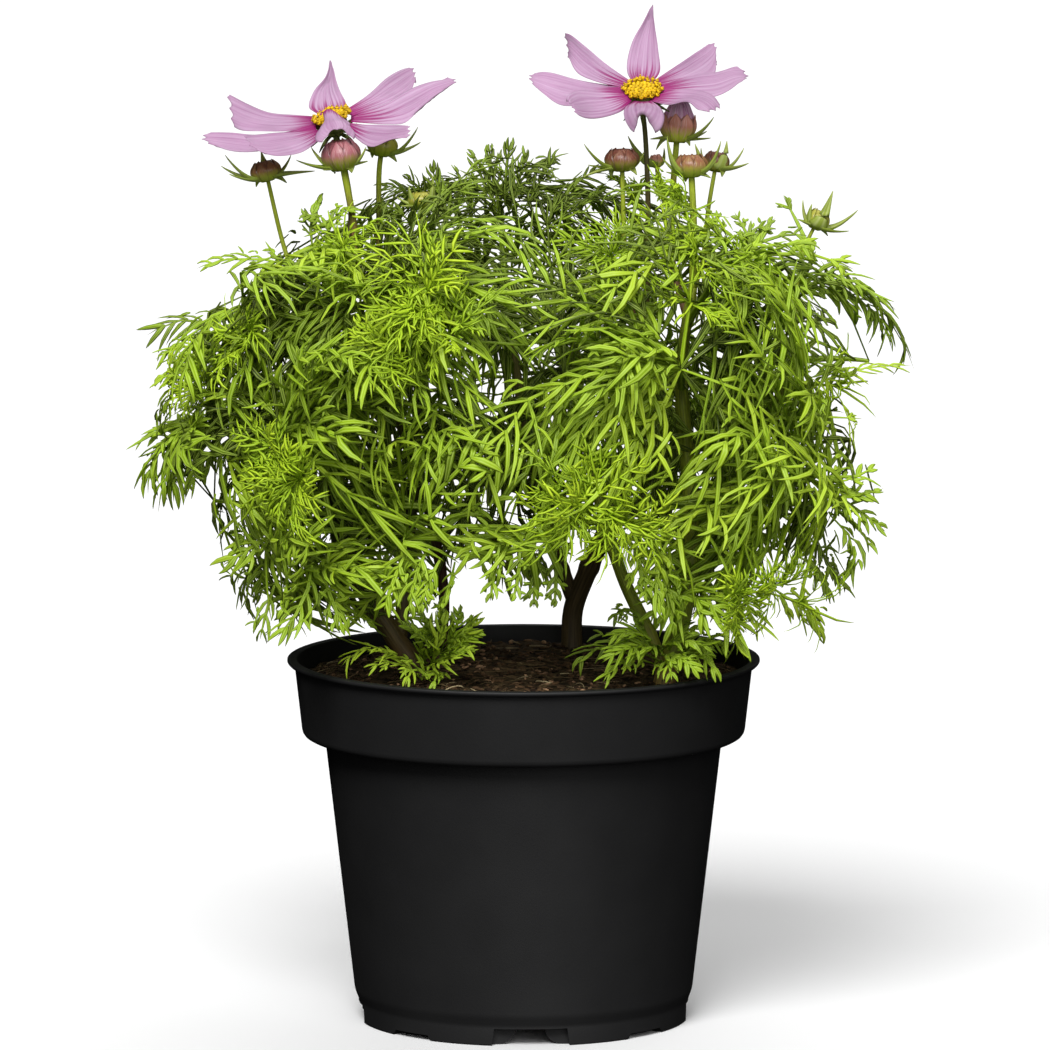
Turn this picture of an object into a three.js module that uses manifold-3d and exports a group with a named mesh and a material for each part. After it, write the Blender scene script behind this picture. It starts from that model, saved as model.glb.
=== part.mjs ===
// A potted cosmos: a black nursery pot of soil with four young cosmos plants, two open
// flowers, their buds and a dome of feathery leaves.
// Millimetres, +Z up. The origin is on the pot's axis, on the ground, and -Y is the front.

import * as THREE from "three";
import { mergeVertices } from "three/addons/utils/BufferGeometryUtils.js";
import Module from "manifold-3d";

const wasm = await Module();
wasm.setup();

// Driving dimensions

const CLEARANCE = 0.35; // between a piece and what it is seated on
const ROOM = 0.45; // between pieces that only pass each other
const CUT_PAST = 1; // how far a cutter reaches past what it cuts

const POT = {
  height: 130.8,
  rimRadius: 85,
  lipHeight: 3.3,
  lipOverhang: 2.5,
  lipChamfer: 0.8,
  mouthFlare: 0.3, // of the inside, at the lip
  bandTopRadius: 82.4,
  bandBottomRadius: 79.5,
  bandBottom: 103,
  bandRounding: 2.7,
  bodyTopRadius: 71.6,
  bodyBottomRadius: 61,
  bodyBottom: 10.7,
  footRadius: 59.6,
  footHeight: 7,
  wall: 1.2,
  turn: THREE.MathUtils.degToRad(2.5), // of the foot's windows about the pot's axis
  sides: 44,
};

const CHANNEL = { height: 6.2, ceilingHalfWidth: 5, floorHalfWidth: 11.5, arcSteps: 3 };
const WINDOW = { height: 6.2, halfWidth: 13.5, slant: 0.5, innerRadius: 55 };
const NOTCH = { height: 2, halfWidth: 8.8, slant: 1, innerRadius: 54 };
const DRAIN = { radius: 4, distance: 34, depth: 6, sides: 12 };

const SOIL = { middle: 127.6, edge: 123.7, middleRadius: 62, sides: 22 };

const STEM = { sides: 8, stepLength: 19 };

const PETAL = {
  thickness: 0.7,
  clawRadius: 3.9,
  clawHalfWidth: 0.75,
  cup: 1.2,
  bend: 0.45, // where it bends up, as a share of its reach
  broadening: 1.25,
  narrowing: 0.93, // its end keeps some width below 1
  steps: 5,
};

// A disc is a dome on a stub. The dome's edge and shoulder are shares of its radius and height.
const DISC = {
  radius: 7.2,
  height: 3.8,
  edge: 0.35,
  shoulder: [0.7, 0.85],
  lift: 1.3,
  stubRadius: 3.2,
  sides: 12,
};

const CALYX = { radius: 5.4, footRadius: 2, depth: 6.5, shoulder: 2, sides: 8 };
const CALYX_BRACTS = { count: 6, length: 11, halfWidth: 1.3, inset: 1.5, drop: 2.6, slope: -0.5 };
const CALYX_STALK = { radius: 1.1, sides: 5, stepLength: 16 };

// A bud's bracts are sized by the bud's radius, and start below its middle by a share of its height.
const BUD = { rings: [0, 0.25, 0.55, 0.85, 1], sides: 7 };
const BUD_BRACTS = { count: 5, reach: 2.2, halfWidth: 0.18, root: 0.4, below: 0.36, slope: 0.35 };
const BUD_STALK = { radius: 1.1, taper: 0.8, sides: 4, stepLength: 17 };
const BRACT_HALF_THICKNESS = 0.5;

const LEAF = { thickness: 0.8, ribHalfWidth: 0.8, leafletHalfWidth: 1.3, droop: 0.16, rootGap: 0.5 };
const LEAFLET_PAIRS = [
  { share: 0.38, reach: 0.46, angle: 0.85 }, // share of the leaf's length, and radians
  { share: 0.64, reach: 0.36, angle: 0.75 },
];
const LEAF_TRIES = { lengths: [1, 0.85, 0.7], turns: [0, 0.3, -0.3, 0.6, -0.6, 0.9, -0.9] };

// A twig takes up a share of its shoot, and its leaves the rest. Each pair of leaves is placed
// along the twig, spread from it and rolled about it.
const TWIG = { startRadius: 1.5, endRadius: 0.8, share: 0.54, arch: 0.12, sides: 4, stepLength: 20 };
const END_LEAF = { along: 0.98, spread: 0, pairs: 2 };
const LEAF_PAIRS = [
  { along: 0.86, spread: 0.95, rolls: [0.2, Math.PI - 0.2], pairs: 2 },
  { along: 0.6, spread: 1.1, rolls: [0.9, Math.PI + 0.9], pairs: 1 },
];
const SHOOT_LEAN = 0.6; // of the leaves' faces, away from the plant's middle

// Where things grow: every point is [x, y, z]

const STEMS = {
  left_stem: {
    base: [-34, -33, 105],
    branches: {
      trunk: {
        radii: [4.3, 1.9],
        points: [
          [-34, -33, 105], [-36, -33, 127], [-46, -31, 143], [-56, -28, 158], [-65, -24, 178],
          [-70, -18, 205], [-71, -12, 235], [-69, -8, 262],
        ],
      },
      side: {
        radii: [2.6, 1.6],
        points: [[-44, -31, 141], [-42, -28, 165], [-39, -22, 200], [-37, -19, 235], [-36, -18, 262]],
      },
    },
  },
  middle_stem: {
    base: [17, 50, 105],
    branches: {
      trunk: {
        radii: [4.3, 1.8],
        points: [
          [17, 50, 105], [17.5, 50, 127], [18, 50, 141], [23, 47, 155], [33, 38, 180],
          [41, 22, 215], [44, 6, 258],
        ],
      },
      side: {
        radii: [2.8, 1.5],
        points: [[18.5, 50, 144], [10, 46, 168], [2, 38, 205], [-6, 30, 250]],
      },
    },
  },
  right_stem: {
    base: [50, -38, 105],
    branches: {
      trunk: {
        radii: [4.3, 1.8],
        points: [
          [50, -38, 105], [50, -38, 127], [56, -36, 150], [60, -32, 176], [58, -28, 208],
          [56, -24, 238], [60, -17, 266],
        ],
      },
      side: {
        radii: [2.6, 1.5],
        points: [
          [50.5, -38, 131], [44, -36, 146], [35, -31, 165], [26, -27, 195], [20, -24, 228],
          [18, -20, 250],
        ],
      },
      far: {
        radii: [2.2, 1.4],
        points: [[60, -32, 178], [80, -22, 205], [94, -10, 235], [98, 0, 262]],
      },
    },
  },
  back_left_stem: {
    base: [-30, 52, 105],
    branches: {
      trunk: {
        radii: [2.2, 1.4],
        points: [
          [-30, 52, 105], [-30, 52, 127], [-29, 51, 145], [-33, 47, 172], [-43, 38, 205],
          [-50, 26, 240], [-52, 17, 268],
        ],
      },
    },
  },
};

// A flower's tilt leans its axis to the front and to the left, in degrees. A petal's tip is
// given from the flower's centre.
const FLOWERS = {
  right_flower: {
    stem: "middle_stem",
    branch: "trunk",
    share: 1,
    stalk: [[46.1, 0, 285.8], [46, 1, 315]],
    centre: [42.4, -4, 334.9],
    tiltForward: 35,
    tiltLeft: 0,
    petals: [
      { side: "back", tip: [4, 26, 29], width: 12 },
      { side: "back_left", tip: [-27.5, 28, 17.4], width: 12 },
      { side: "left", tip: [-40.3, 5, 5.2], width: 12 },
      { side: "front_left", tip: [-26.3, -28, -2.3], width: 13 },
      { side: "front", tip: [0.8, -32, -10], width: 13 },
      { side: "front_right", tip: [28, -24, -5], width: 13 },
      { side: "right", tip: [37.9, 3, 4.8], width: 11 },
      { side: "back_right", tip: [26.7, 25, 11.4], width: 11 },
    ],
  },
  left_flower: {
    stem: "left_stem",
    branch: "trunk",
    share: 1,
    stalk: [[-67, -2, 290], [-66.5, 3, 308]],
    centre: [-68, -4, 325.2],
    tiltForward: 19,
    tiltLeft: 12,
    petals: [
      { side: "back", tip: [-1.3, 36, 18.7], width: 13 },
      { side: "back_right", tip: [29, 30, 14], width: 12 },
      { side: "right", tip: [44.2, 4, 12.7], width: 11 },
      { side: "front_right", tip: [27.9, -26, -5.4], width: 12 },
      { side: "front", tip: [1.9, -34, -2], width: 12 },
      { side: "front_left", tip: [-30.2, -29, -5.4], width: 13 },
      { side: "left", tip: [-46.6, 0, -7.1], width: 11 },
      { side: "back_left", tip: [-37.2, 25, 2.3], width: 11 },
    ],
  },
};

// A bud's stalk leaves a branch at a share of the branch's length and ends in the bud's head.
const BUDS = [
  {
    stem: "left_stem", branch: "trunk", share: 0.87, radius: 5.2, height: 8,
    stalk: [[-79, -6, 262], [-85.3, 0, 278], [-92.1, 0, 306.5]],
  },
  {
    stem: "left_stem", branch: "trunk", share: 0.93, radius: 6.9, height: 11,
    stalk: [[-61, -17, 266], [-60, -16, 284], [-64.8, -17.5, 313.8]],
  },
  {
    stem: "back_left_stem", branch: "trunk", share: 1, radius: 5, height: 8,
    stalk: [[-51.9, 16, 282], [-50, 15, 314.3]],
  },
  {
    stem: "left_stem", branch: "side", share: 1, radius: 4.4, height: 6,
    stalk: [[-35.3, -20, 280], [-36.2, -20, 297.9]],
  },
  {
    stem: "middle_stem", branch: "trunk", share: 0.92, radius: 6, height: 8.5,
    stalk: [[37, 0, 262], [35.8, -10, 284], [35, -10, 311.4]],
  },
  {
    stem: "right_stem", branch: "trunk", share: 0.93, radius: 6.6, height: 13,
    stalk: [[53, -6, 275], [53.1, 4, 293], [55.2, 6, 322.4]],
  },
  {
    stem: "right_stem", branch: "trunk", share: 1, radius: 6, height: 8.6,
    stalk: [[60.5, -17, 285], [59.5, -16, 309.8]],
  },
  {
    stem: "right_stem", branch: "trunk", share: 0.96, radius: 4.6, height: 7.5,
    stalk: [[64, -8, 276], [66, 2, 292], [69, 5, 309.4]],
  },
  {
    stem: "right_stem", branch: "far", share: 1, radius: 4, height: 8,
    stalk: [[99.5, 0, 276], [105.2, 0, 289]],
  },
  {
    stem: "left_stem", branch: "trunk", share: 0.78, radius: 3.2, height: 6,
    stalk: [[-80, -22, 242], [-89.4, -30, 258.5]],
  },
];

// A side bud that grows from the stalk of the bud at an index.
const SIDE_BUD = { on: 5, radius: 2.2, height: 5, stalk: [[53.1, 3, 291], [49, 9, 299], [47.5, 11, 309]] };

// A side shoot leaves a branch at a share of the branch's length and reaches to its tip.
const SHOOTS = [
  { name: "far_left_leaves", stem: "left_stem", branch: "trunk", share: 0.66, tip: [-138, -34, 226] },
  { name: "far_left_low_leaves", stem: "left_stem", branch: "trunk", share: 0.5, tip: [-139, -8, 188] },
  { name: "left_bottom_leaves", stem: "left_stem", branch: "trunk", share: 0.42, tip: [-100, -80, 150] },
  { name: "left_front_leaves", stem: "left_stem", branch: "trunk", share: 0.73, tip: [-96, -97, 212] },
  { name: "left_top_leaves", stem: "left_stem", branch: "trunk", share: 0.86, tip: [-118, -34, 274] },
  { name: "left_centre_top_leaves", stem: "left_stem", branch: "side", share: 0.86, tip: [-60, -88, 270] },
  { name: "left_centre_low_leaves", stem: "left_stem", branch: "side", share: 0.3, tip: [-42, -108, 180] },
  { name: "centre_left_leaves", stem: "left_stem", branch: "side", share: 0.62, tip: [-22, -104, 240] },
  { name: "top_centre_leaves", stem: "middle_stem", branch: "side", share: 0.97, tip: [-12, 42, 318] },
  { name: "back_centre_leaves", stem: "middle_stem", branch: "side", share: 0.5, tip: [-12, 118, 222] },
  { name: "back_right_leaves", stem: "middle_stem", branch: "trunk", share: 0.7, tip: [72, 96, 250] },
  { name: "back_right_low_leaves", stem: "middle_stem", branch: "trunk", share: 0.45, tip: [104, 76, 180] },
  { name: "centre_front_leaves", stem: "right_stem", branch: "side", share: 0.97, tip: [12, -114, 226] },
  { name: "centre_low_leaves", stem: "right_stem", branch: "side", share: 0.5, tip: [8, -98, 180] },
  { name: "right_front_leaves", stem: "right_stem", branch: "trunk", share: 0.78, tip: [54, -113, 244] },
  { name: "right_top_leaves", stem: "right_stem", branch: "trunk", share: 0.92, tip: [86, -66, 292] },
  { name: "right_middle_leaves", stem: "right_stem", branch: "far", share: 0.45, tip: [108, -92, 212] },
  { name: "far_right_leaves", stem: "right_stem", branch: "far", share: 0.75, tip: [141, -20, 236] },
  { name: "far_right_low_leaves", stem: "right_stem", branch: "far", share: 0.2, tip: [130, -36, 178] },
  { name: "back_left_leaves", stem: "back_left_stem", branch: "trunk", share: 0.66, tip: [-108, 70, 236] },
  {
    name: "back_left_low_leaves",
    stem: "back_left_stem", branch: "trunk", share: 0.44, tip: [-72, 100, 180],
  },
  { name: "top_left_leaves", stem: "back_left_stem", branch: "trunk", share: 0.9, tip: [-44, 62, 302] },
  { name: "left_basal_leaves", stem: "left_stem", branch: "trunk", share: 0.2, tip: [-8, -56, 146] },
  { name: "right_basal_leaves", stem: "right_stem", branch: "trunk", share: 0.2, tip: [92, -56, 146] },
];

// Materials

function finish(color, roughness) {
  return () => new THREE.MeshStandardMaterial({ color, roughness, metalness: 0 });
}

const FINISHES = {
  blackPlastic: finish(0x1d1e20, 0.42),
  soil: finish(0x2e2019, 0.95),
  bark: finish(0x5b4a2c, 0.7),
  leaf: finish(0x6f9a24, 0.55),
  petal: finish(0xd99ad0, 0.6),
  floret: finish(0xe2a818, 0.7),
  calyx: finish(0x7f9440, 0.6),
  bud: finish(0x9c6a57, 0.5),
};

// Solids

function vector([x, y, z]) {
  return new THREE.Vector3(x, y, z);
}

// A closed geometry as a solid. Faces that a pointed end or a pole leaves without area go.
function solidFrom(geometry) {
  geometry.deleteAttribute("normal");
  geometry.deleteAttribute("uv");
  const merged = mergeVertices(geometry);
  const corners = merged.index.array;
  const triangles = [];
  for (let i = 0; i < corners.length; i += 3) {
    const [a, b, c] = corners.slice(i, i + 3);
    if (a !== b && b !== c && c !== a) triangles.push(a, b, c);
  }
  return new wasm.Manifold(new wasm.Mesh({
    numProp: 3,
    vertProperties: new Float32Array(merged.attributes.position.array),
    triVerts: new Uint32Array(triangles),
  }));
}

function union(solids) {
  return solids.reduce((whole, solid) => whole.add(solid));
}

function turned(profile, sides) {
  const points = profile.map(([radius, height]) => new THREE.Vector2(radius, height));
  return new THREE.LatheGeometry(points, sides).rotateX(Math.PI / 2);
}

function ring(sides) {
  return Array.from({ length: sides }, (_, i) => {
    const angle = (i * 2 * Math.PI) / sides;
    return [Math.cos(angle), Math.sin(angle)];
  });
}

// Carries a section along a curve. sizeAt gives the section's half width, half thickness and
// how far its edges curl up, at each share of the curve's length.
function sweep({ curve, corners, steps, sizeAt, up }) {
  const section = new THREE.Shape(corners.map(([x, y]) => new THREE.Vector2(x, y)));
  const swept = new THREE.ExtrudeGeometry(section, { depth: 1, steps, bevelEnabled: false });
  const place = swept.attributes.position;
  for (let i = 0; i < place.count; i++) {
    const share = THREE.MathUtils.clamp(place.getZ(i), 0, 1);
    const along = curve.getTangentAt(share);
    const side = new THREE.Vector3().crossVectors(up, along).normalize();
    const normal = new THREE.Vector3().crossVectors(along, side);
    const [halfWidth, halfThickness, curl] = sizeAt(share);
    const x = place.getX(i);
    const point = curve.getPointAt(share);
    point.addScaledVector(side, x * halfWidth);
    point.addScaledVector(normal, place.getY(i) * halfThickness + curl * x * x);
    place.setXYZ(i, point.x, point.y, point.z);
  }
  return solidFrom(swept);
}

function tube(points, [startRadius, endRadius], sides, stepLength) {
  const curve = new THREE.CatmullRomCurve3(points, false, "centripetal");
  const chord = points.at(-1).clone().sub(points[0]).normalize();
  const up = Math.abs(chord.z) > 0.7 ? new THREE.Vector3(0, 1, 0) : new THREE.Vector3(0, 0, 1);
  return sweep({
    curve,
    corners: ring(sides),
    steps: Math.ceil(curve.getLength() / stepLength),
    sizeAt: (share) => {
      const radius = THREE.MathUtils.lerp(startRadius, endRadius, share);
      return [radius, radius, 0];
    },
    up,
  });
}

// A thin pointed blade from one place in one direction, such as a bract.
function spike(start, direction, length, halfWidth, up) {
  const end = start.clone().addScaledVector(direction, length);
  return sweep({
    curve: new THREE.LineCurve3(start, end),
    corners: [[-1, 0], [0, -1], [1, 0], [0, 1]],
    steps: 1,
    sizeAt: (share) => [halfWidth * (1 - share), BRACT_HALF_THICKNESS * (1 - share), 0],
    up,
  });
}

// What is built so far, so that a new leaf can look for room

const taken = [];

function take(solid) {
  taken.push({ solid, box: solid.boundingBox() });
}

function boxesMeet(a, b) {
  return [0, 1, 2].every((axis) => a.min[axis] < b.max[axis] && b.min[axis] < a.max[axis]);
}

function hasRoom(solid) {
  const box = solid.boundingBox();
  return taken.every((other) => !boxesMeet(box, other.box) || solid.intersect(other.solid).isEmpty());
}

// The scene graph

const pottedCosmos = new THREE.Group();

function groupAt(parent, position, quaternion = new THREE.Quaternion()) {
  const group = new THREE.Group();
  group.position.copy(position);
  group.quaternion.copy(quaternion);
  parent.add(group);
  group.position.sub(parent.getWorldPosition(new THREE.Vector3()));
  pottedCosmos.updateMatrixWorld(true);
  return group;
}

function addPiece(name, solid, makeMaterial, parent) {
  const { vertProperties, triVerts } = solid.getMesh();
  const geometry = new THREE.BufferGeometry();
  geometry.setAttribute("position", new THREE.BufferAttribute(vertProperties, 3));
  geometry.setIndex(new THREE.BufferAttribute(triVerts, 1));
  geometry.applyMatrix4(parent.matrixWorld.clone().invert());
  geometry.computeVertexNormals();
  const piece = new THREE.Mesh(geometry, makeMaterial());
  piece.name = name;
  parent.add(piece);
  take(solid);
}

// Pot and soil

function outerProfile() {
  const { height, rimRadius, lipHeight, lipChamfer, bandBottom, bandRounding } = POT;
  const underLip = height - lipHeight;
  const rounding = [0, 0.5, 1].map((share) => {
    const angle = (share * Math.PI) / 2;
    return [
      POT.bandBottomRadius - bandRounding * (1 - Math.sin(angle)),
      bandBottom + bandRounding * (1 - Math.cos(angle)),
    ];
  });
  return [
    [0, 0],
    [POT.footRadius, 0],
    [POT.footRadius, POT.footHeight],
    [POT.bodyBottomRadius, POT.bodyBottom],
    [POT.bodyTopRadius, bandBottom],
    ...rounding,
    [POT.bandTopRadius, underLip],
    [rimRadius, underLip],
    [rimRadius, height - lipChamfer],
    [rimRadius - lipChamfer, height],
    [rimRadius - POT.lipOverhang, height],
    [0, height],
  ];
}

function innerProfile(inset) {
  const wall = POT.wall + inset;
  const ledge = POT.bandBottom + wall;
  return [
    [0, wall],
    [POT.footRadius - wall, wall],
    [POT.footRadius - wall, POT.footHeight],
    [POT.bodyBottomRadius - wall, POT.bodyBottom],
    [POT.bodyTopRadius - wall, ledge],
    [POT.bandBottomRadius - wall - POT.bandRounding / 2, ledge],
    [POT.bandBottomRadius - wall, ledge + POT.bandRounding / 2],
    [POT.bandTopRadius - wall, POT.height - POT.lipHeight],
  ];
}

// A cutter of one section, laid along the pot's floor from one distance to another.
function floorCutter(points, from, to, angle) {
  const section = new THREE.Shape(points.map(([x, z]) => new THREE.Vector2(x, z)));
  const cutter = new THREE.ExtrudeGeometry(section, { depth: to - from, bevelEnabled: false });
  cutter.rotateX(Math.PI / 2).translate(0, -from, 0).rotateZ(POT.turn + angle);
  return solidFrom(cutter);
}

function channelSection(grow) {
  const { height, ceilingHalfWidth, floorHalfWidth, arcSteps } = CHANNEL;
  const rise = height - grow;
  const run = floorHalfWidth - ceilingHalfWidth - grow;
  const flank = Array.from({ length: arcSteps + 1 }, (_, i) => {
    const angle = (i / arcSteps) * (Math.PI / 2);
    return [floorHalfWidth - run * Math.sin(angle), height - rise * Math.cos(angle)];
  });
  const half = [[floorHalfWidth, -CUT_PAST], ...flank, [ceilingHalfWidth + grow, height + grow]];
  const otherHalf = half.map(([x, z]) => [-x, z]).reverse();
  return grow > 0 ? [...half, ...otherHalf] : [...half.slice(0, -1), ...otherHalf.slice(1)];
}

function slotSection({ height, halfWidth, slant }, grow) {
  const low = halfWidth + grow + slant;
  const high = halfWidth + grow - slant;
  return [[low, -CUT_PAST], [high, height + grow], [-high, height + grow], [-low, -CUT_PAST]];
}

// Everything that opens the pot's foot from below, grown by a wall for the pot's inside.
function footCutters(grow) {
  const reach = POT.rimRadius;
  const cutters = [0, 1].map((turn) => {
    return floorCutter(channelSection(grow), -reach, reach, (turn * Math.PI) / 2);
  });
  for (let quarter = 0; quarter < 4; quarter++) {
    const angle = (quarter * Math.PI) / 2;
    const windowStart = WINDOW.innerRadius - grow;
    const notchStart = NOTCH.innerRadius - grow;
    cutters.push(floorCutter(slotSection(WINDOW, grow), windowStart, reach, angle));
    cutters.push(floorCutter(slotSection(NOTCH, grow), notchStart, reach, angle + Math.PI / 4));
  }
  return union(cutters);
}

function drainHoles() {
  const holes = [0, 1, 2, 3].map((quarter) => {
    const hole = new THREE.CylinderGeometry(DRAIN.radius, DRAIN.radius, DRAIN.depth, DRAIN.sides);
    hole.rotateX(Math.PI / 2).translate(DRAIN.distance, 0, CHANNEL.height + CUT_PAST);
    return solidFrom(hole.rotateZ(POT.turn + (quarter * Math.PI) / 2));
  });
  return union(holes);
}

function makePot() {
  const outside = solidFrom(turned(outerProfile(), POT.sides)).subtract(footCutters(0));
  const insideProfile = innerProfile(0);
  const mouthRadius = insideProfile.at(-1)[0] + POT.mouthFlare;
  const cutTop = POT.height + CUT_PAST;
  insideProfile.push([mouthRadius, cutTop], [0, cutTop]);
  const inside = solidFrom(turned(insideProfile, POT.sides)).subtract(footCutters(POT.wall));
  return outside.subtract(inside).subtract(drainHoles());
}

function makeSoil(roots) {
  const profile = innerProfile(CLEARANCE);
  const [lowRadius, lowHeight] = profile.at(-2);
  const [highRadius, highHeight] = profile.pop();
  const share = (SOIL.edge - lowHeight) / (highHeight - lowHeight);
  profile.push(
    [THREE.MathUtils.lerp(lowRadius, highRadius, share), SOIL.edge],
    [SOIL.middleRadius, SOIL.middle],
    [0, SOIL.middle],
  );
  const block = solidFrom(turned(profile, SOIL.sides));
  return block.subtract(footCutters(POT.wall + CLEARANCE)).subtract(roots);
}

// Stems

function makeStem({ branches }, grow) {
  const parts = Object.values(branches).map(({ points, radii }) => {
    const route = points.map(vector);
    const [beforeEnd, end] = route.slice(-2);
    end.addScaledVector(end.clone().sub(beforeEnd).normalize(), grow);
    route[0].z -= grow;
    const grown = radii.map((radius) => radius + grow);
    return tube(route, grown, STEM.sides, STEM.stepLength);
  });
  return union(parts);
}

function placeOn(stem, branch, share) {
  const points = STEMS[stem].branches[branch].points.map(vector);
  return new THREE.CatmullRomCurve3(points, false, "centripetal").getPointAt(share);
}

function stalkRoute({ stem, branch, share, stalk }) {
  return [placeOn(stem, branch, share), ...stalk.map(vector)];
}

// Flowers

function makePetal(centre, tilt, { tip, width }) {
  const end = vector(tip).applyQuaternion(tilt.clone().invert());
  const outward = new THREE.Vector3(end.x, end.y, 0).normalize();
  const middle = outward.clone().multiplyScalar(end.length() * PETAL.bend);
  const start = outward.clone().multiplyScalar(PETAL.clawRadius);
  const toWorld = (point) => point.applyQuaternion(tilt).add(centre);
  return sweep({
    curve: new THREE.QuadraticBezierCurve3(toWorld(start), toWorld(middle), toWorld(end)),
    corners: [[-1, -1], [0, -1], [1, -1], [1, 1], [0, 1], [-1, 1]],
    steps: PETAL.steps,
    sizeAt: (share) => {
      const widest = Math.sin(Math.PI * PETAL.narrowing * share ** PETAL.broadening);
      const halfWidth = PETAL.clawHalfWidth + (width / 2 - PETAL.clawHalfWidth) * widest;
      return [halfWidth, PETAL.thickness / 2, PETAL.cup * widest * widest];
    },
    up: new THREE.Vector3(0, 0, 1).applyQuaternion(tilt),
  });
}

function makeDisc(centre, tilt) {
  const { radius, height, edge, shoulder, lift, stubRadius, sides } = DISC;
  const underside = PETAL.thickness / 2 + lift;
  const profile = [
    [0, -PETAL.thickness / 2],
    [stubRadius, -PETAL.thickness / 2],
    [stubRadius, underside],
    [radius, underside],
    [radius, underside + height * edge],
    [radius * shoulder[0], underside + height * shoulder[1]],
    [0, underside + height],
  ];
  const disc = turned(profile, sides);
  disc.applyQuaternion(tilt).translate(...centre);
  return solidFrom(disc);
}

function makeCalyx(centre, tilt, stalkPoints) {
  const { radius, footRadius, depth, shoulder, sides } = CALYX;
  const { count, length, halfWidth, inset, drop, slope } = CALYX_BRACTS;
  const top = -PETAL.thickness / 2 - CLEARANCE;
  const foot = top - depth;
  const profile = [[0, foot], [footRadius, foot], [radius, top - shoulder], [radius, top], [0, top]];
  const cup = turned(profile, sides).applyQuaternion(tilt).translate(...centre);
  const axis = new THREE.Vector3(0, 0, 1).applyQuaternion(tilt);
  const seat = centre.clone().addScaledVector(axis, foot + footRadius);
  const stalkRadii = [CALYX_STALK.radius, CALYX_STALK.radius];
  const parts = [
    solidFrom(cup),
    tube([...stalkPoints, seat], stalkRadii, CALYX_STALK.sides, CALYX_STALK.stepLength),
  ];
  for (const [x, y] of ring(count)) {
    const outward = new THREE.Vector3(x, y, 0);
    const start = outward.clone().multiplyScalar(radius - inset).setZ(top - drop);
    const direction = outward.clone().setZ(slope).normalize().applyQuaternion(tilt);
    start.applyQuaternion(tilt).add(centre);
    parts.push(spike(start, direction, length, halfWidth, axis));
  }
  return union(parts);
}

function makeFlower(name, flower, parent) {
  const middle = vector(flower.centre);
  const { degToRad } = THREE.MathUtils;
  const lean = new THREE.Euler(degToRad(flower.tiltForward), -degToRad(flower.tiltLeft), 0);
  const tilt = new THREE.Quaternion().setFromEuler(lean);
  const group = groupAt(parent, middle, tilt);
  const calyx = makeCalyx(middle, tilt, stalkRoute(flower)).subtract(grownStems[flower.stem]);
  addPiece(`${name}_calyx_and_stalk`, calyx, FINISHES.calyx, group);
  addPiece(`${name}_disc`, makeDisc(middle, tilt), FINISHES.floret, group);
  for (const petal of flower.petals) {
    addPiece(`${name}_${petal.side}_petal`, makePetal(middle, tilt, petal), FINISHES.petal, group);
  }
}

// Buds

function makeBudHead({ radius, height }, points) {
  const middle = points.at(-1);
  const axis = middle.clone().sub(points.at(-2)).normalize();
  const tilt = new THREE.Quaternion().setFromUnitVectors(new THREE.Vector3(0, 0, 1), axis);
  const profile = BUD.rings.map((share) => {
    return [radius * Math.sin(Math.PI * share), height * (share - 0.5)];
  });
  const head = turned(profile, BUD.sides).applyQuaternion(tilt).translate(...middle);
  const stalkRadii = [BUD_STALK.radius, BUD_STALK.radius * BUD_STALK.taper];
  const parts = [
    solidFrom(head),
    tube(points, stalkRadii, BUD_STALK.sides, BUD_STALK.stepLength),
  ];
  const { count, reach, halfWidth, root, below, slope } = BUD_BRACTS;
  for (const [x, y] of ring(count)) {
    const outward = new THREE.Vector3(x, y, 0);
    const start = outward.clone().multiplyScalar(radius * root).setZ(-height * below);
    const direction = outward.clone().setZ(slope).normalize().applyQuaternion(tilt);
    start.applyQuaternion(tilt).add(middle);
    parts.push(spike(start, direction, radius * reach, radius * halfWidth, axis));
  }
  return union(parts);
}

function makeBud(bud, index) {
  const parts = [makeBudHead(bud, stalkRoute(bud))];
  if (index === SIDE_BUD.on) parts.push(makeBudHead(SIDE_BUD, SIDE_BUD.stalk.map(vector)));
  return union(parts).subtract(grownStems[bud.stem]);
}

// Leaves

// The outline of a feathery leaf along +X: a midrib with pairs of leaflets and a tip.
function leafOutline(length, pairs, grow) {
  const rib = LEAF.ribHalfWidth + grow;
  const half = LEAF.leafletHalfWidth + grow;
  const lower = [[0, -rib]];
  for (const { share, reach, angle } of LEAFLET_PAIRS.slice(0, pairs)) {
    const root = length * share;
    const tip = length * reach + grow;
    lower.push([root - half, -rib]);
    lower.push([root + tip * Math.cos(angle), -rib - tip * Math.sin(angle)]);
    lower.push([root + half, -rib]);
  }
  const upper = lower.map(([x, y]) => [x, -y]).reverse();
  const outline = [...lower, [length + grow, 0], ...upper];
  return new THREE.Shape(outline.map(([x, y]) => new THREE.Vector2(x, y)));
}

function makeLeaf({ start, direction, up, length, pairs, grow = 0 }) {
  const thickness = LEAF.thickness + 2 * grow;
  const blade = new THREE.ExtrudeGeometry(leafOutline(length, pairs, grow), {
    depth: thickness,
    bevelEnabled: false,
  });
  const side = new THREE.Vector3().crossVectors(up, direction).normalize();
  const normal = new THREE.Vector3().crossVectors(direction, side);
  blade.translate(0, 0, -thickness / 2);
  blade.applyMatrix4(new THREE.Matrix4().makeBasis(direction, side, normal));
  const place = blade.attributes.position;
  for (let i = 0; i < place.count; i++) {
    const outward = Math.max(0, direction.dot(new THREE.Vector3().fromBufferAttribute(place, i)));
    place.setZ(i, place.getZ(i) - (LEAF.droop * outward * outward) / length);
  }
  blade.translate(...start);
  return solidFrom(blade);
}

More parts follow.
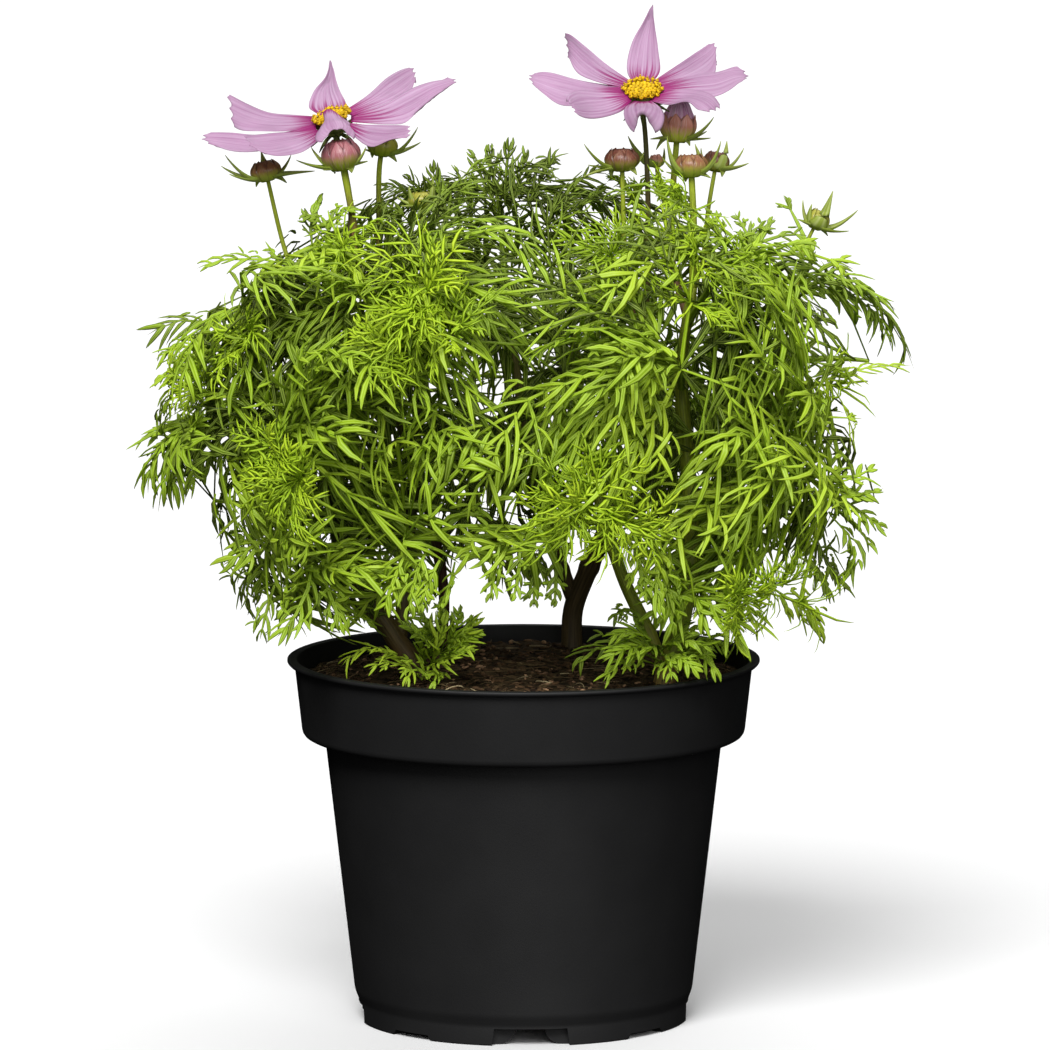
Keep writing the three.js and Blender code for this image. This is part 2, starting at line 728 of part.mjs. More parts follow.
// A leaf as near as possible to the wanted direction that clears everything built before it.
function leafWithRoom(wanted) {
  for (const share of LEAF_TRIES.lengths) {
    for (const turn of LEAF_TRIES.turns) {
      const direction = wanted.direction.clone().applyAxisAngle(wanted.twigDirection, turn);
      const leaf = { ...wanted, direction, length: wanted.length * share };
      if (hasRoom(makeLeaf({ ...leaf, grow: ROOM }))) return makeLeaf(leaf);
    }
  }
  return null;
}

function shootCurve(start, tip) {
  const length = start.distanceTo(tip);
  const middle = start.clone().lerp(tip, 0.5);
  middle.z += TWIG.arch * length;
  return new THREE.QuadraticBezierCurve3(start, middle, tip);
}

function makeShoot({ stem, branch, share, tip }) {
  const start = placeOn(stem, branch, share);
  const curve = shootCurve(start, vector(tip));
  const length = curve.getLength();
  const twigPoints = [0, 0.5, 1].map((part) => curve.getPointAt(part * TWIG.share));
  const twig = tube(twigPoints, [TWIG.startRadius, TWIG.endRadius], TWIG.sides, TWIG.stepLength);
  const parts = [twig.subtract(grownStems[stem])];
  const fromMiddle = new THREE.Vector3(start.x, start.y, 0).normalize();
  const up = fromMiddle.multiplyScalar(SHOOT_LEAN).setZ(1).normalize();
  const leafLength = length * (1 - TWIG.share);
  const addLeaf = ({ along, spread, pairs }, roll) => {
    const twigShare = TWIG.share * along;
    const twigDirection = curve.getTangentAt(twigShare);
    const side = new THREE.Vector3().crossVectors(up, twigDirection).normalize();
    side.applyAxisAngle(twigDirection, roll);
    const direction = twigDirection.clone().multiplyScalar(Math.cos(spread));
    direction.addScaledVector(side, Math.sin(spread)).normalize();
    const leaf = leafWithRoom({
      start: curve.getPointAt(twigShare).addScaledVector(direction, spread > 0 ? LEAF.rootGap : 0),
      direction,
      twigDirection,
      up,
      length: leafLength,
      pairs,
    });
    if (leaf) parts.push(leaf);
  };
  addLeaf(END_LEAF, 0);
  for (const pair of LEAF_PAIRS) {
    for (const roll of pair.rolls) addLeaf(pair, roll);
  }
  return union(parts);
}

// Assembly

const grownStems = {};
for (const [name, stem] of Object.entries(STEMS)) grownStems[name] = makeStem(stem, CLEARANCE);

const plants = {};
addPiece("pot", makePot(), FINISHES.blackPlastic, pottedCosmos);
addPiece("soil", makeSoil(union(Object.values(grownStems))), FINISHES.soil, pottedCosmos);
for (const [name, stem] of Object.entries(STEMS)) {
  plants[name] = groupAt(pottedCosmos, vector(stem.base));
  addPiece(name, makeStem(stem, 0), FINISHES.bark, plants[name]);
}
for (const [name, flower] of Object.entries(FLOWERS)) makeFlower(name, flower, plants[flower.stem]);
BUDS.forEach((bud, i) => {
  addPiece(`bud_${String(i + 1).padStart(2, "0")}`, makeBud(bud, i), FINISHES.bud, plants[bud.stem]);
});
for (const shoot of SHOOTS) {
  addPiece(shoot.name, makeShoot(shoot), FINISHES.leaf, plants[shoot.stem]);
}

export default pottedCosmos;
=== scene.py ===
# A potted cosmos: a black nursery pot of soil with four young cosmos plants, two open pink
# flowers, their buds and a dome of feathery leaves.
# Lengths in this script are millimetres, and become metres when a mesh is made.

import math

import bpy
import numpy as np
from mathutils import Euler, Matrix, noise


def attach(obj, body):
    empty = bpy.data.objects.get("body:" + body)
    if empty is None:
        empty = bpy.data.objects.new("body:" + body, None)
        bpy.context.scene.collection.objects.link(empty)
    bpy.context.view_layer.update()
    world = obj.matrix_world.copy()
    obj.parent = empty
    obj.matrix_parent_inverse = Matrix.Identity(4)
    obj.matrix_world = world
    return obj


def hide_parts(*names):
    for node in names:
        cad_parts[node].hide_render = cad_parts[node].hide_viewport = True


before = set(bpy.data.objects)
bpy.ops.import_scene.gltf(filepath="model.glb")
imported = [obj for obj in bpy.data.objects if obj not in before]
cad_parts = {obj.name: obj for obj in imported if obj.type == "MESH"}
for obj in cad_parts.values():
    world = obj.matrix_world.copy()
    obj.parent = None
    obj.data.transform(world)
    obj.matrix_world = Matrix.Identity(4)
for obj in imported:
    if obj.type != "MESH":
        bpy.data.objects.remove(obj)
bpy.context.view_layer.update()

MM = 0.001
TINY = 1e-9
# Directions that no path and no bud's axis lies along.
OFF_AXES = {"path": (0.3, 0.9, 0.1), "head": (0.2, 1, 0.1)}
# A blade's thickness follows its width to this power.
BLADE_TAPER = 0.6
rng = np.random.default_rng(11)

# Driving dimensions, as in the CAD model

POT = {
    "height": 130.8,
    "rim_radius": 85,
    "lip_height": 3.3,
    "lip_overhang": 2.5,
    "band_top_radius": 82.4,
    "band_bottom_radius": 79.5,
    "band_bottom": 103,
    "body_top_radius": 71.6,
    "body_bottom_radius": 61,
    "body_bottom": 10.7,
    "foot_radius": 59.6,
    "foot_height": 7,
    "floor": 9,
    "wall": 1.2,
    "turn": math.radians(2.5),
}
CHANNEL = {"height": 6.2, "ceiling_half_width": 5, "floor_half_width": 11.5, "arc_steps": 7}
WINDOW = {"height": 6.2, "half_width": 13.5, "slant": 0.5, "inner_radius": 55}
NOTCH = {"height": 2, "half_width": 8.8, "slant": 1, "inner_radius": 54}
DRAIN = {"radius": 4, "distance": 34, "sides": 32, "cut": (4, 13)}
SOIL = {"middle": 127.2, "edge": 123.4, "middle_radius": 62, "wall_gap": 1.6}

STEMS = {
    "left_stem": {
        "trunk": (
            (4.3, 1.9),
            [
                (-34, -33, 105), (-36, -33, 127), (-46, -31, 143), (-56, -28, 158),
                (-65, -24, 178), (-70, -18, 205), (-71, -12, 235), (-69, -8, 262),
            ],
        ),
        "side": (
            (2.6, 1.6),
            [(-44, -31, 141), (-42, -28, 165), (-39, -22, 200), (-37, -19, 235), (-36, -18, 262)],
        ),
    },
    "middle_stem": {
        "trunk": (
            (4.3, 1.8),
            [
                (17, 50, 105), (17.5, 50, 127), (18, 50, 141), (23, 47, 155), (33, 38, 180),
                (41, 22, 215), (44, 6, 258),
            ],
        ),
        "side": ((2.8, 1.5), [(18.5, 50, 144), (10, 46, 168), (2, 38, 205), (-6, 30, 250)]),
    },
    "right_stem": {
        "trunk": (
            (4.3, 1.8),
            [
                (50, -38, 105), (50, -38, 127), (56, -36, 150), (60, -32, 176), (58, -28, 208),
                (56, -24, 238), (60, -17, 266),
            ],
        ),
        "side": (
            (2.6, 1.5),
            [
                (50.5, -38, 131), (44, -36, 146), (35, -31, 165), (26, -27, 195),
                (20, -24, 228), (18, -20, 250),
            ],
        ),
        "far": ((2.2, 1.4), [(60, -32, 178), (80, -22, 205), (94, -10, 235), (98, 0, 262)]),
    },
    "back_left_stem": {
        "trunk": (
            (2.2, 1.4),
            [
                (-30, 52, 105), (-30, 52, 127), (-29, 51, 145), (-33, 47, 172),
                (-43, 38, 205), (-50, 26, 240), (-52, 17, 268),
            ],
        ),
    },
}

PETAL = {"thickness": 0.4, "rows": 36, "columns": 25}
DISC = {"radius": 7.2, "lift": 1.0, "dome": 0.9, "florets": 76}
CALYX = {"radius": 5.2, "depth": 6.5, "stalk_radius": 0.85}

# Looks of the pot and the soil

# The lip looks thinner than the solid one, with a bevel, and the inside narrows just below it.
POT_LOOK = {
    "lip_thinning": 1.5, "lip_bevel": 0.8, "inside_drop": 1,
    "sides": 192, "sharp_from": math.radians(32),
}
PLASTIC_BLACKS = [(0.009, 0.009, 0.0093), (0.011, 0.011, 0.0113)]
# How far the tools that cut the foot reach past it and below the ground.
CUT_PAST = {"side": 6, "below": 1}
# The crumbs are noise of a size and a height.
SOIL_LOOK = {
    "rings": 84, "sides": 260, "ring_spread": 0.8, "fall": 0.8,
    "crumbs": [(22, 0.8), (7, 0.9), (2.6, 0.7), (1.2, 0.35)],
    "wall_clearance": 1, "floor_clearance": 0.5,
}
SOIL_BROWNS = [(0.010, 0.006, 0.002), (0.12, 0.078, 0.035)]
# What lies on the soil: ranges of length and half width, and dark, middle and pale browns.
LITTER = {
    "bark_chips": {
        "count": 1500, "length": (1.2, 4.2), "half_width": (0.35, 1.0), "flatness": 0.6,
        "bend": 0.05, "lift": 0.2,
        "outline": [(0, 0.7), (0.33, 1), (0.67, 0.9)],
        "section": [(-1, -0.5), (-0.7, 0.6), (0.5, 0.8), (1, -0.3)],
        "browns": [(0.018, 0.009, 0.004), (0.11, 0.062, 0.028), (0.42, 0.25, 0.14)],
    },
    "soil_fibres": {
        "count": 320, "length": (4, 13), "half_width": (0.12, 0.3), "flatness": 1,
        "bend": 0.2, "lift": 0.5,
        "outline": [(0, 1), (0.2, 1), (0.4, 0.9), (0.6, 0.8), (0.8, 0.6)],
        "section": [(-1, 0), (0, 1), (1, 0), (0, -1)],
        "browns": [(0.03, 0.018, 0.007), (0.16, 0.11, 0.05), (0.45, 0.36, 0.2)],
    },
}
LITTER_SCATTER = {"start_margin": 3, "end_margin": 2, "slope": 0.25, "rise": 0.4, "tilt": 0.5}

# Looks of the stems: bark below the first height, and the young stem's colour above the second.
STEM_LOOKS = {
    "left_stem": ((0.10, 0.055, 0.018), (0.085, 0.085, 0.015), 128, 178),
    "middle_stem": ((0.10, 0.07, 0.028), (0.13, 0.12, 0.03), 160, 235),
    "right_stem": ((0.34, 0.17, 0.08), (0.32, 0.38, 0.03), 120, 146),
    "back_left_stem": ((0.10, 0.045, 0.022), (0.09, 0.11, 0.02), 150, 230),
}
# Nodes swell a stem by a share of its radius. Two sets of ribs run along it, given by their height
# and how many there are, and the second set winds around it.
STEM_NODES = {
    "first": 0.12, "spacing": 34, "swelling": 0.16, "length": 2.2,
    "ribs": ((0.035, 7), (0.02, 3)), "twist": 4,
}
STEM_MESH = {"places": 110, "sides": 20, "thinning": 0.97}
STALK = {"foot": 1.25, "ribs": 0.06, "rib_count": 6, "places": 48, "sides": 12}

# Flowers. Places picked in the photograph are (column, row, depth): pixels of its 1050 x 1050
# frame, and how far back the place lies in millimetres. A petal is given by its two edges and its
# midline.
FLOWERS = {
    "right_flower": {
        "stem": "middle_stem",
        "stalk": [(44.6, 0, 285.8), (43.6, 1, 317)],
        "centre": (42.4, -4, 334.9),
        "tilt": (35, 0),
        "disc_tilt": (25, 0),
        "petals": {
            "back": (
                [(634, 84, 0), (627, 70, 8), (632, 42, 16), (644, 20, 21), (653, 4, 25)],
                [(642, 84, 1), (643, 68, 10), (646, 40, 18), (650, 20, 22), (653, 4, 25)],
                [(651, 84, 0), (660, 71, 8), (658, 50, 14), (655, 28, 19), (653, 4, 25)],
            ),
            "back_left": (
                [(635, 84, 0), (605, 63, 8), (585, 46, 15), (571, 35, 21), (563, 33, 25)],
                [(631, 86, -1), (603, 74, 5), (583, 60, 12), (571, 48, 18), (566, 45, 21)],
                [(627, 88, -2), (601, 83, 0), (580, 74, 5), (570, 60, 13), (568, 56, 18)],
            ),
            "left": (
                [(627, 87, -2), (603, 84, 1), (574, 79, 4), (545, 73, 6), (530, 74, 6)],
                [(626, 91, -4), (592, 94, -3), (562, 89, -2), (540, 82, 1), (528, 78, 3)],
                [(625, 95, -6), (592, 103, -10), (563, 105, -10), (544, 94, -5), (534, 86, -1)],
            ),
            "front_left": (
                [(627, 94, -7), (600, 92, -11), (578, 90, -15), (568, 97, -21), (569, 103, -24)],
                [(629, 98, -9), (604, 105, -16), (586, 107, -21), (576, 107, -25), (571, 107, -27)],
                [(632, 101, -9), (622, 111, -16), (605, 117, -23), (588, 117, -27), (576, 112, -29)],
            ),
            "front": (
                [(634, 101, -9), (625, 109, -16), (625, 120, -22), (630, 129, -24), (636, 133, -24)],
                [(643, 102, -10), (644, 106, -19), (643, 110, -23), (642, 113, -23), (643, 115, -22)],
                [(652, 101, -9), (662, 109, -16), (664, 119, -22), (660, 130, -24), (654, 134, -24)],
            ),
            "front_right": (
                [(655, 95, -6), (681, 89, -9), (701, 92, -15), (713, 97, -20), (722, 106, -24)],
                [(653, 98, -8), (676, 98, -13), (695, 98, -20), (708, 103, -25), (716, 111, -27)],
                [(650, 101, -9), (668, 105, -14), (687, 101, -22), (699, 111, -28), (706, 113, -29)],
            ),
            "right": (
                [(660, 86, -2), (690, 76, 3), (715, 72, 7), (734, 67, 9), (742, 68, 9)],
                [(661, 89, -4), (690, 85, 0), (716, 82, 2), (736, 76, 6), (749, 76, 8)],
                [(662, 92, -6), (690, 96, -7), (714, 97, -7), (730, 91, -3), (745, 79, 3)],
            ),
            "back_right": (
                [(650, 83, 0), (673, 68, 7), (688, 58, 12), (700, 50, 17), (712, 41, 21)],
                [(655, 84, -1), (682, 74, 6), (701, 63, 12), (712, 54, 17), (717, 46, 20)],
                [(660, 86, -2), (690, 82, 1), (713, 75, 6), (716, 66, 11), (713, 58, 16)],
            ),
        },
    },
    "left_flower": {
        "stem": "left_stem",
        "stalk": [(-61.8, 1, 288), (-63.6, 2, 306)],
        "centre": (-68, -4, 325.2),
        "tilt": (19, 12),
        "disc_tilt": (16, 15),
        "petals": {
            "back": (
                [(318, 114, -2), (309, 107, 6), (314, 91, 15), (324, 78, 20), (330, 60, 29)],
                [(330, 116, -2), (327, 104, 8), (326, 90, 17), (330, 75, 23), (330, 60, 29)],
                [(344, 112, 0), (346, 104, 5), (340, 91, 13), (334, 76, 20), (330, 60, 29)],
            ),
            "back_right": (
                [(344, 111, 2), (368, 95, 10), (387, 78, 18), (402, 69, 24), (413, 65, 28)],
                [(348, 113, 1), (374, 101, 8), (395, 88, 15), (408, 79, 21), (416, 72, 25)],
                [(352, 116, -1), (380, 107, 4), (400, 99, 9), (412, 90, 15), (415, 80, 21)],
            ),
            "right": (
                [(351, 116, 0), (385, 104, 4), (411, 89, 10), (434, 80, 13), (453, 78, 14)],
                [(351, 119, -2), (385, 115, -2), (410, 105, 1), (434, 91, 7), (457, 82, 13)],
                [(351, 122, -5), (385, 124, -9), (404, 123, -9), (418, 110, -2), (438, 91, 7)],
            ),
            "front_right": (
                [(349, 123, -7), (368, 125, -12), (388, 125, -17), (402, 124, -21), (410, 124, -23)],
                [(348, 125, -9), (363, 132, -16), (382, 136, -22), (399, 134, -26), (411, 131, -28)],
                [(346, 127, -10), (357, 139, -18), (372, 147, -25), (392, 141, -30), (411, 138, -31)],
            ),
            "front": (
                [(323, 113, -9), (324, 123, -17), (316, 135, -23), (317, 142, -26), (325, 143, -27)],
                [(331, 110, -9), (333, 117, -17), (336, 122, -23), (338, 127, -25), (337, 130, -26)],
                [(342, 119, -11), (350, 124, -16), (350, 128, -20), (356, 133, -24), (354, 141, -26)],
            ),
            "front_left": (
                [(317, 130, -8), (295, 132, -14), (268, 133, -20), (247, 134, -24), (245, 137, -27)],
                [(320, 132, -10), (303, 140, -18), (280, 146, -26), (262, 148, -30), (249, 145, -31)],
                [(323, 135, -12), (313, 145, -19), (298, 154, -27), (278, 157, -32), (261, 153, -33)],
            ),
            "left": (
                [(316, 125, -5), (285, 132, -4), (255, 134, -2), (230, 133, -1), (206, 135, 0)],
                [(316, 128, -7), (285, 139, -10), (258, 145, -10), (232, 143, -6), (201, 139, -3)],
                [(317, 131, -9), (285, 144, -15), (262, 151, -15), (240, 151, -12), (214, 145, -7)],
            ),
            "back_left": (
                [(322, 117, 2), (296, 115, 8), (270, 112, 14), (249, 104, 19), (226, 94, 23)],
                [(319, 121, -1), (293, 123, 3), (266, 122, 8), (246, 117, 12), (229, 109, 17)],
                [(317, 125, -4), (290, 131, -5), (262, 132, -2), (243, 130, 3), (231, 124, 9)],
            ),
        },
    },
}
PETAL_PINKS = [(0.37, 0.19, 0.33), (0.445, 0.265, 0.41), (0.51, 0.335, 0.485)]
PETAL_MAGENTA = (0.28, 0.012, 0.14)
PETAL_RUFFLE = {
    "pleats": 0.14, "pleat_count": 8.5, "wave": 0.8, "wave_count": 6, "teeth": 0.045, "tooth_count": 1.5,
}
DISC_BASE = {"heights": (-0.4, 0.5), "radii": [2.6, 3.2, 4.6, 6.4], "sides": 24, "tone": 0.7}
FLORET_SPREAD = {"reach": 0.92, "sunk": 0.5, "lean": 0.6}
# Florets open towards the disc's rim, where anthers stand out of them.
RIPE_FROM = 0.72
FLORETS = {
    "open": {"height": (1.4, 2.2), "radii": [0.4, 0.42, 0.48, 0.6, 0.82, 0.25], "lobes": 0.28},
    "closed": {"height": (0.9, 1.2), "radii": [0.55, 0.72, 0.8, 0.74, 0.5, 0.1], "lobes": 0},
}
ANTHER = {"start": 0.8, "length": (0.5, 1.1), "radii": [0.3, 0.36, 0.36, 0.3, 0.12]}
FLORET_YELLOWS = [(0.48, 0.28, 0.003), (0.78, 0.50, 0.004)]
ANTHER_BROWNS = [(0.10, 0.04, 0.004), (0.74, 0.44, 0.01)]
CALYX_TOP = -0.6
CALYX_PROFILE = [(0, 1.3), (0.2, 2.6), (0.5, 4.4), (0.8, CALYX["radius"]), (1, 4.6)]
CALYX_BRACTS = 8
INNER_BRACT = {"out": 2.2, "down": 4.6, "lean": 0.4, "half_width": 2.2, "cup": 0.1, "tone": 0.75}
OUTER_BRACT = {"out": 2.4, "down": 5, "lean": -0.2, "half_width": 1.0, "cup": 0.3, "tone": 0.3}
BRACT_LENGTH = 7.5
BRACT_CURVES = {"inner": 0.05, "outer": (-0.4, 0)}
BRACT_WIDTHS = [(0, 0.8), (0.3, 1), (0.6, 0.72), (0.9, 0.22), (1, 0.04)]
CALYX_GREENS = [(0.07, 0.10, 0.02), (0.17, 0.23, 0.04), (0.30, 0.33, 0.10), (0.33, 0.36, 0.14)]
FLOWER_STALK_LOOK = ((0.13, 0.09, 0.03), (0.11, 0.11, 0.03), 280, 325)

# Buds. A bud's stalk leaves a stem's branch at a share of its length and ends in the middle of the
# head. It is brown below a height. The bracts' tips are places in the photograph.
BUDS = [
    {"on": ("left_stem", "trunk", 0.87), "stalk": [(-79, -6, 262), (-85.3, 0, 278), (-92.1, 0, 306.5)],
     "radius": 5.4, "height": 7.8, "stalk_radius": 0.75, "brown_below": 240, "look": "olive",
     "bracts": [(225, 155), (221, 166), (229, 174), (256, 187), (315, 171), (291, 155), (287, 183),
                (261, 151)]},
    {"on": ("left_stem", "trunk", 0.93), "stalk": [(-61, -17, 266), (-60, -16, 284), (-64.8, -17.5, 313.8)],
     "radius": 6.9, "height": 11.5, "stalk_radius": 1.15, "brown_below": 292, "look": "pink",
     "bracts": [(296, 160), (311, 147), (323, 170), (368, 161), (366, 147), (335, 174), (352, 173)]},
    {"on": ("back_left_stem", "trunk", 1),
     "stalk": [(-51.9, 16, 282), (-51.8, 15.5, 305), (-50.6, 15, 314.3)],
     "radius": 5.4, "height": 8, "stalk_radius": 0.9, "brown_below": 287, "look": "green",
     "bracts": [(418, 127), (421, 142), (397, 162), (364, 149), (404, 150), (372, 158)]},
    {"on": ("left_stem", "side", 1), "stalk": [(-35.3, -20, 280), (-36.2, -20, 297.9)],
     "radius": 4.6, "height": 6, "stalk_radius": 1.3, "brown_below": 200, "look": "green",
     "bracts": [(432, 175), (397, 197), (401, 206), (440, 192), (439, 205), (414, 212), (409, 186)]},
    {"on": ("middle_stem", "trunk", 0.92), "stalk": [(37, 0, 262), (35.8, -10, 284), (35, -10, 311.4)],
     "radius": 6.1, "height": 8.6, "stalk_radius": 0.8, "brown_below": 278, "look": "brown",
     "bracts": [(584, 144), (588, 165), (583, 177), (644, 152), (637, 175), (612, 180), (596, 172)]},
    {"on": ("right_stem", "trunk", 0.93), "stalk": [(53, -6, 275), (53.1, 4, 293), (55.2, 6, 322.4)],
     "radius": 6.6, "height": 13, "stalk_radius": 1.1, "brown_below": 300, "look": "opening",
     "bracts": [(714, 117), (707, 131), (650, 139), (656, 150), (690, 146), (711, 138)]},
    {"on": ("right_stem", "trunk", 1), "stalk": [(60.5, -17, 285), (59.5, -16, 309.8)],
     "radius": 6, "height": 8.6, "stalk_radius": 1.1, "brown_below": 200, "look": "olive",
     "bracts": [(721, 141), (662, 157), (667, 136), (666, 172), (711, 178), (686, 182), (716, 160),
                (695, 144)]},
    {"on": ("right_stem", "trunk", 0.96), "stalk": [(64, -8, 276), (66, 2, 292), (69, 5, 309.4)],
     "radius": 4.6, "height": 7.5, "stalk_radius": 0.7, "brown_below": 200, "look": "brown",
     "bracts": [(727, 141), (744, 148), (749, 163), (740, 156), (722, 177), (701, 148)]},
    {"on": ("right_stem", "far", 1), "stalk": [(99.5, 0, 276), (105.2, 0, 289)],
     "radius": 4.2, "height": 7.5, "stalk_radius": 0.6, "brown_below": 200, "look": "green",
     "bracts": [(833, 191), (858, 210), (849, 231), (803, 200), (798, 219), (828, 236), (812, 204)]},
    {"on": ("left_stem", "trunk", 0.78), "stalk": [(-80, -22, 242), (-89.4, -30, 258.5)],
     "radius": 3.3, "height": 6, "stalk_radius": 0.8, "brown_below": 200, "look": "green",
     "bracts": [(247, 292), (269, 290), (284, 305), (255, 318), (282, 322)]},
]
SIDE_BUD = {"on": 5, "stalk": [(53.1, 3, 291), (49, 9, 299), (47.5, 11, 309)],
            "radius": 2.4, "height": 5, "stalk_radius": 0.8, "look": "green",
            "bracts": [(628, 136), (664, 148), (640, 160)]}
# A head's foot, its crown and its streaks, which are partly painted highlight.
BUD_LOOKS = {
    "brown": ((0.34, 0.36, 0.04), (0.19, 0.06, 0.04), (0.46, 0.30, 0.18)),
    "pink": ((0.36, 0.42, 0.03), (0.40, 0.13, 0.15), (0.66, 0.42, 0.40)),
    "olive": ((0.48, 0.56, 0.06), (0.30, 0.12, 0.06), (0.58, 0.50, 0.18)),
    "green": ((0.36, 0.46, 0.02), (0.40, 0.38, 0.05), (0.48, 0.52, 0.08)),
    # The opening bud's colours are lighter as painted light, against the shadow that the flower above casts
    # on it.
    "opening": ((0.60, 0.66, 0.06), (0.68, 0.27, 0.20), (0.85, 0.56, 0.50)),
}
# A head's dome follows a stretch of a sine's arch, made fuller.
HEAD_DOME = {"span": 0.9, "start": 0.06, "fullness": 0.6}
# The scales that wrap a head: how wide an angle each covers, and how they lap and flare at the top.
SCALES = {
    "count": 8, "rows": 14, "columns": 9, "bottom": 0.01, "top": 0.95, "open_top": 0.8, "scatter": 0.05,
    "core": 0.93, "core_inset": 0.04, "core_rows": 12, "core_sides": 20,
    "laps": (0.035, 0.02), "flare": 0.12, "flare_from": 0.85, "flare_over": 0.15, "thickness": 0.35,
}
SCALE_HALF_ANGLES = [(0, 0.45), (0.4, 0.56), (0.8, 0.36), (1, 0.04)]
# A bud's bracts leave its foot, bend at a knee and end at their tips.
SPREADING_BRACT = {
    "below": 0.42, "out": 0.45, "knee": 0.6, "knee_out": 0.62, "knee_up": 0.02,
    "half_width": 2.2, "widening": 0.1, "cup": 0.35, "thickness": 0.45, "tip_depths": (-3, 2),
    "tone": (0.3, 0.85),
}
SPREADING_WIDTHS = [(0, 0.8), (0.25, 1), (0.55, 0.62), (0.85, 0.24), (1, 0.03)]
# Petals furled in an opening bud: their radii, half angles and depth of pleats from foot to point.
FURLED = {
    "count": 7, "rows": 16, "columns": 11, "pleats": 0.1, "pleat_count": 3,
    "height": 0.75, "heights": (0.94, 1.08), "sunk": 0.02, "twist": 0.2, "thickness": 0.3,
}
FURLED_DEEPENING = [(0, 0.3), (1, 1)]
FURLED_RADII = [(0, 0.84), (0.35, 0.8), (0.75, 0.5), (1, 0.18)]
FURLED_HALF_ANGLES = [(0, 0.6), (0.6, 0.62), (1, 0.9)]
# The furled petals are a lighter pink than the open ones: painted light against the flower's shadow.
FURLED_PINKS_AND_PAINTED_LIGHT = [(0.64, 0.20, 0.48), (0.80, 0.46, 0.68), (0.88, 0.66, 0.80)]
FURLED_MAGENTA = (0.20, 0.03, 0.12)
BRACT_GREENS = [(0.17, 0.23, 0.02), (0.33, 0.42, 0.05), (0.48, 0.56, 0.13), (0.56, 0.62, 0.24)]
STALK_COLOURS = [(0.20, 0.11, 0.04), (0.38, 0.46, 0.03)]
STALK_CHANGE = 9

# Side shoots: the stem and branch that carry one, where it leaves that, and where it reaches.
SHOOTS = {
    "far_left_leaves": ("left_stem", "trunk", 0.66, (-138, -34, 226)),
    "far_left_low_leaves": ("left_stem", "trunk", 0.5, (-139, -8, 188)),
    "left_bottom_leaves": ("left_stem", "trunk", 0.42, (-100, -80, 150)),
    "left_front_leaves": ("left_stem", "trunk", 0.73, (-96, -97, 212)),
    "left_top_leaves": ("left_stem", "trunk", 0.86, (-118, -34, 274)),
    "left_centre_top_leaves": ("left_stem", "side", 0.86, (-60, -88, 270)),
    "left_centre_low_leaves": ("left_stem", "side", 0.3, (-42, -108, 180)),
    "centre_left_leaves": ("left_stem", "side", 0.62, (-22, -104, 240)),
    "top_centre_leaves": ("middle_stem", "side", 0.97, (-12, 42, 318)),
    "back_centre_leaves": ("middle_stem", "side", 0.5, (-12, 118, 222)),
    "back_right_leaves": ("middle_stem", "trunk", 0.7, (72, 96, 250)),
    "back_right_low_leaves": ("middle_stem", "trunk", 0.45, (104, 76, 180)),
    "centre_front_leaves": ("right_stem", "side", 0.97, (12, -114, 226)),
    "centre_low_leaves": ("right_stem", "side", 0.5, (8, -98, 180)),
    "right_front_leaves": ("right_stem", "trunk", 0.78, (54, -113, 244)),
    "right_top_leaves": ("right_stem", "trunk", 0.92, (86, -66, 292)),
    "right_middle_leaves": ("right_stem", "far", 0.45, (108, -92, 212)),
    "far_right_leaves": ("right_stem", "far", 0.75, (141, -20, 236)),
    "far_right_low_leaves": ("right_stem", "far", 0.2, (130, -36, 178)),
    "back_left_leaves": ("back_left_stem", "trunk", 0.66, (-108, 70, 236)),
    "back_left_low_leaves": ("back_left_stem", "trunk", 0.44, (-72, 100, 180)),
    "top_left_leaves": ("back_left_stem", "trunk", 0.9, (-44, 62, 302)),
}
# A twig is drawn for a share of the way, and leaves grow on it past its bare first places.
TWIG = {
    "start_radius": 1.5, "end_radius": 0.7, "share": 0.62, "arch": 0.12,
    "places": 60, "bare": 4, "sides": 8, "tone": 0.4,
}

# The camera stands in front, as the photograph's did.
CAMERA = {
    "distance": 3000, "pitch": math.radians(7.49), "aim": 178.8,
    "lens": 286.5, "sensor": 36, "shift": 0.0014, "clip_end": 100000,
}
PHOTO_SIZE = 1050
FOCAL = CAMERA["lens"] / CAMERA["sensor"] * PHOTO_SIZE
PIXELS_PER_MM = FOCAL / CAMERA["distance"]
SINE, COSINE = math.sin(CAMERA["pitch"]), math.cos(CAMERA["pitch"])
# Each light's azimuth, 0 being the camera's side, its elevation, strength and width in degrees.
LIGHTS = {
    "key_light": (-14, 46, 2.9, 28),
    "fill_light": (16, 22, 1.1, 50),
    "top_light": (160, 70, 1.1, 60),
}
SKY_STRENGTH = 0.16
FLOOR = {"reach": 40000, "colour": (0.9, 0.9, 0.9)}

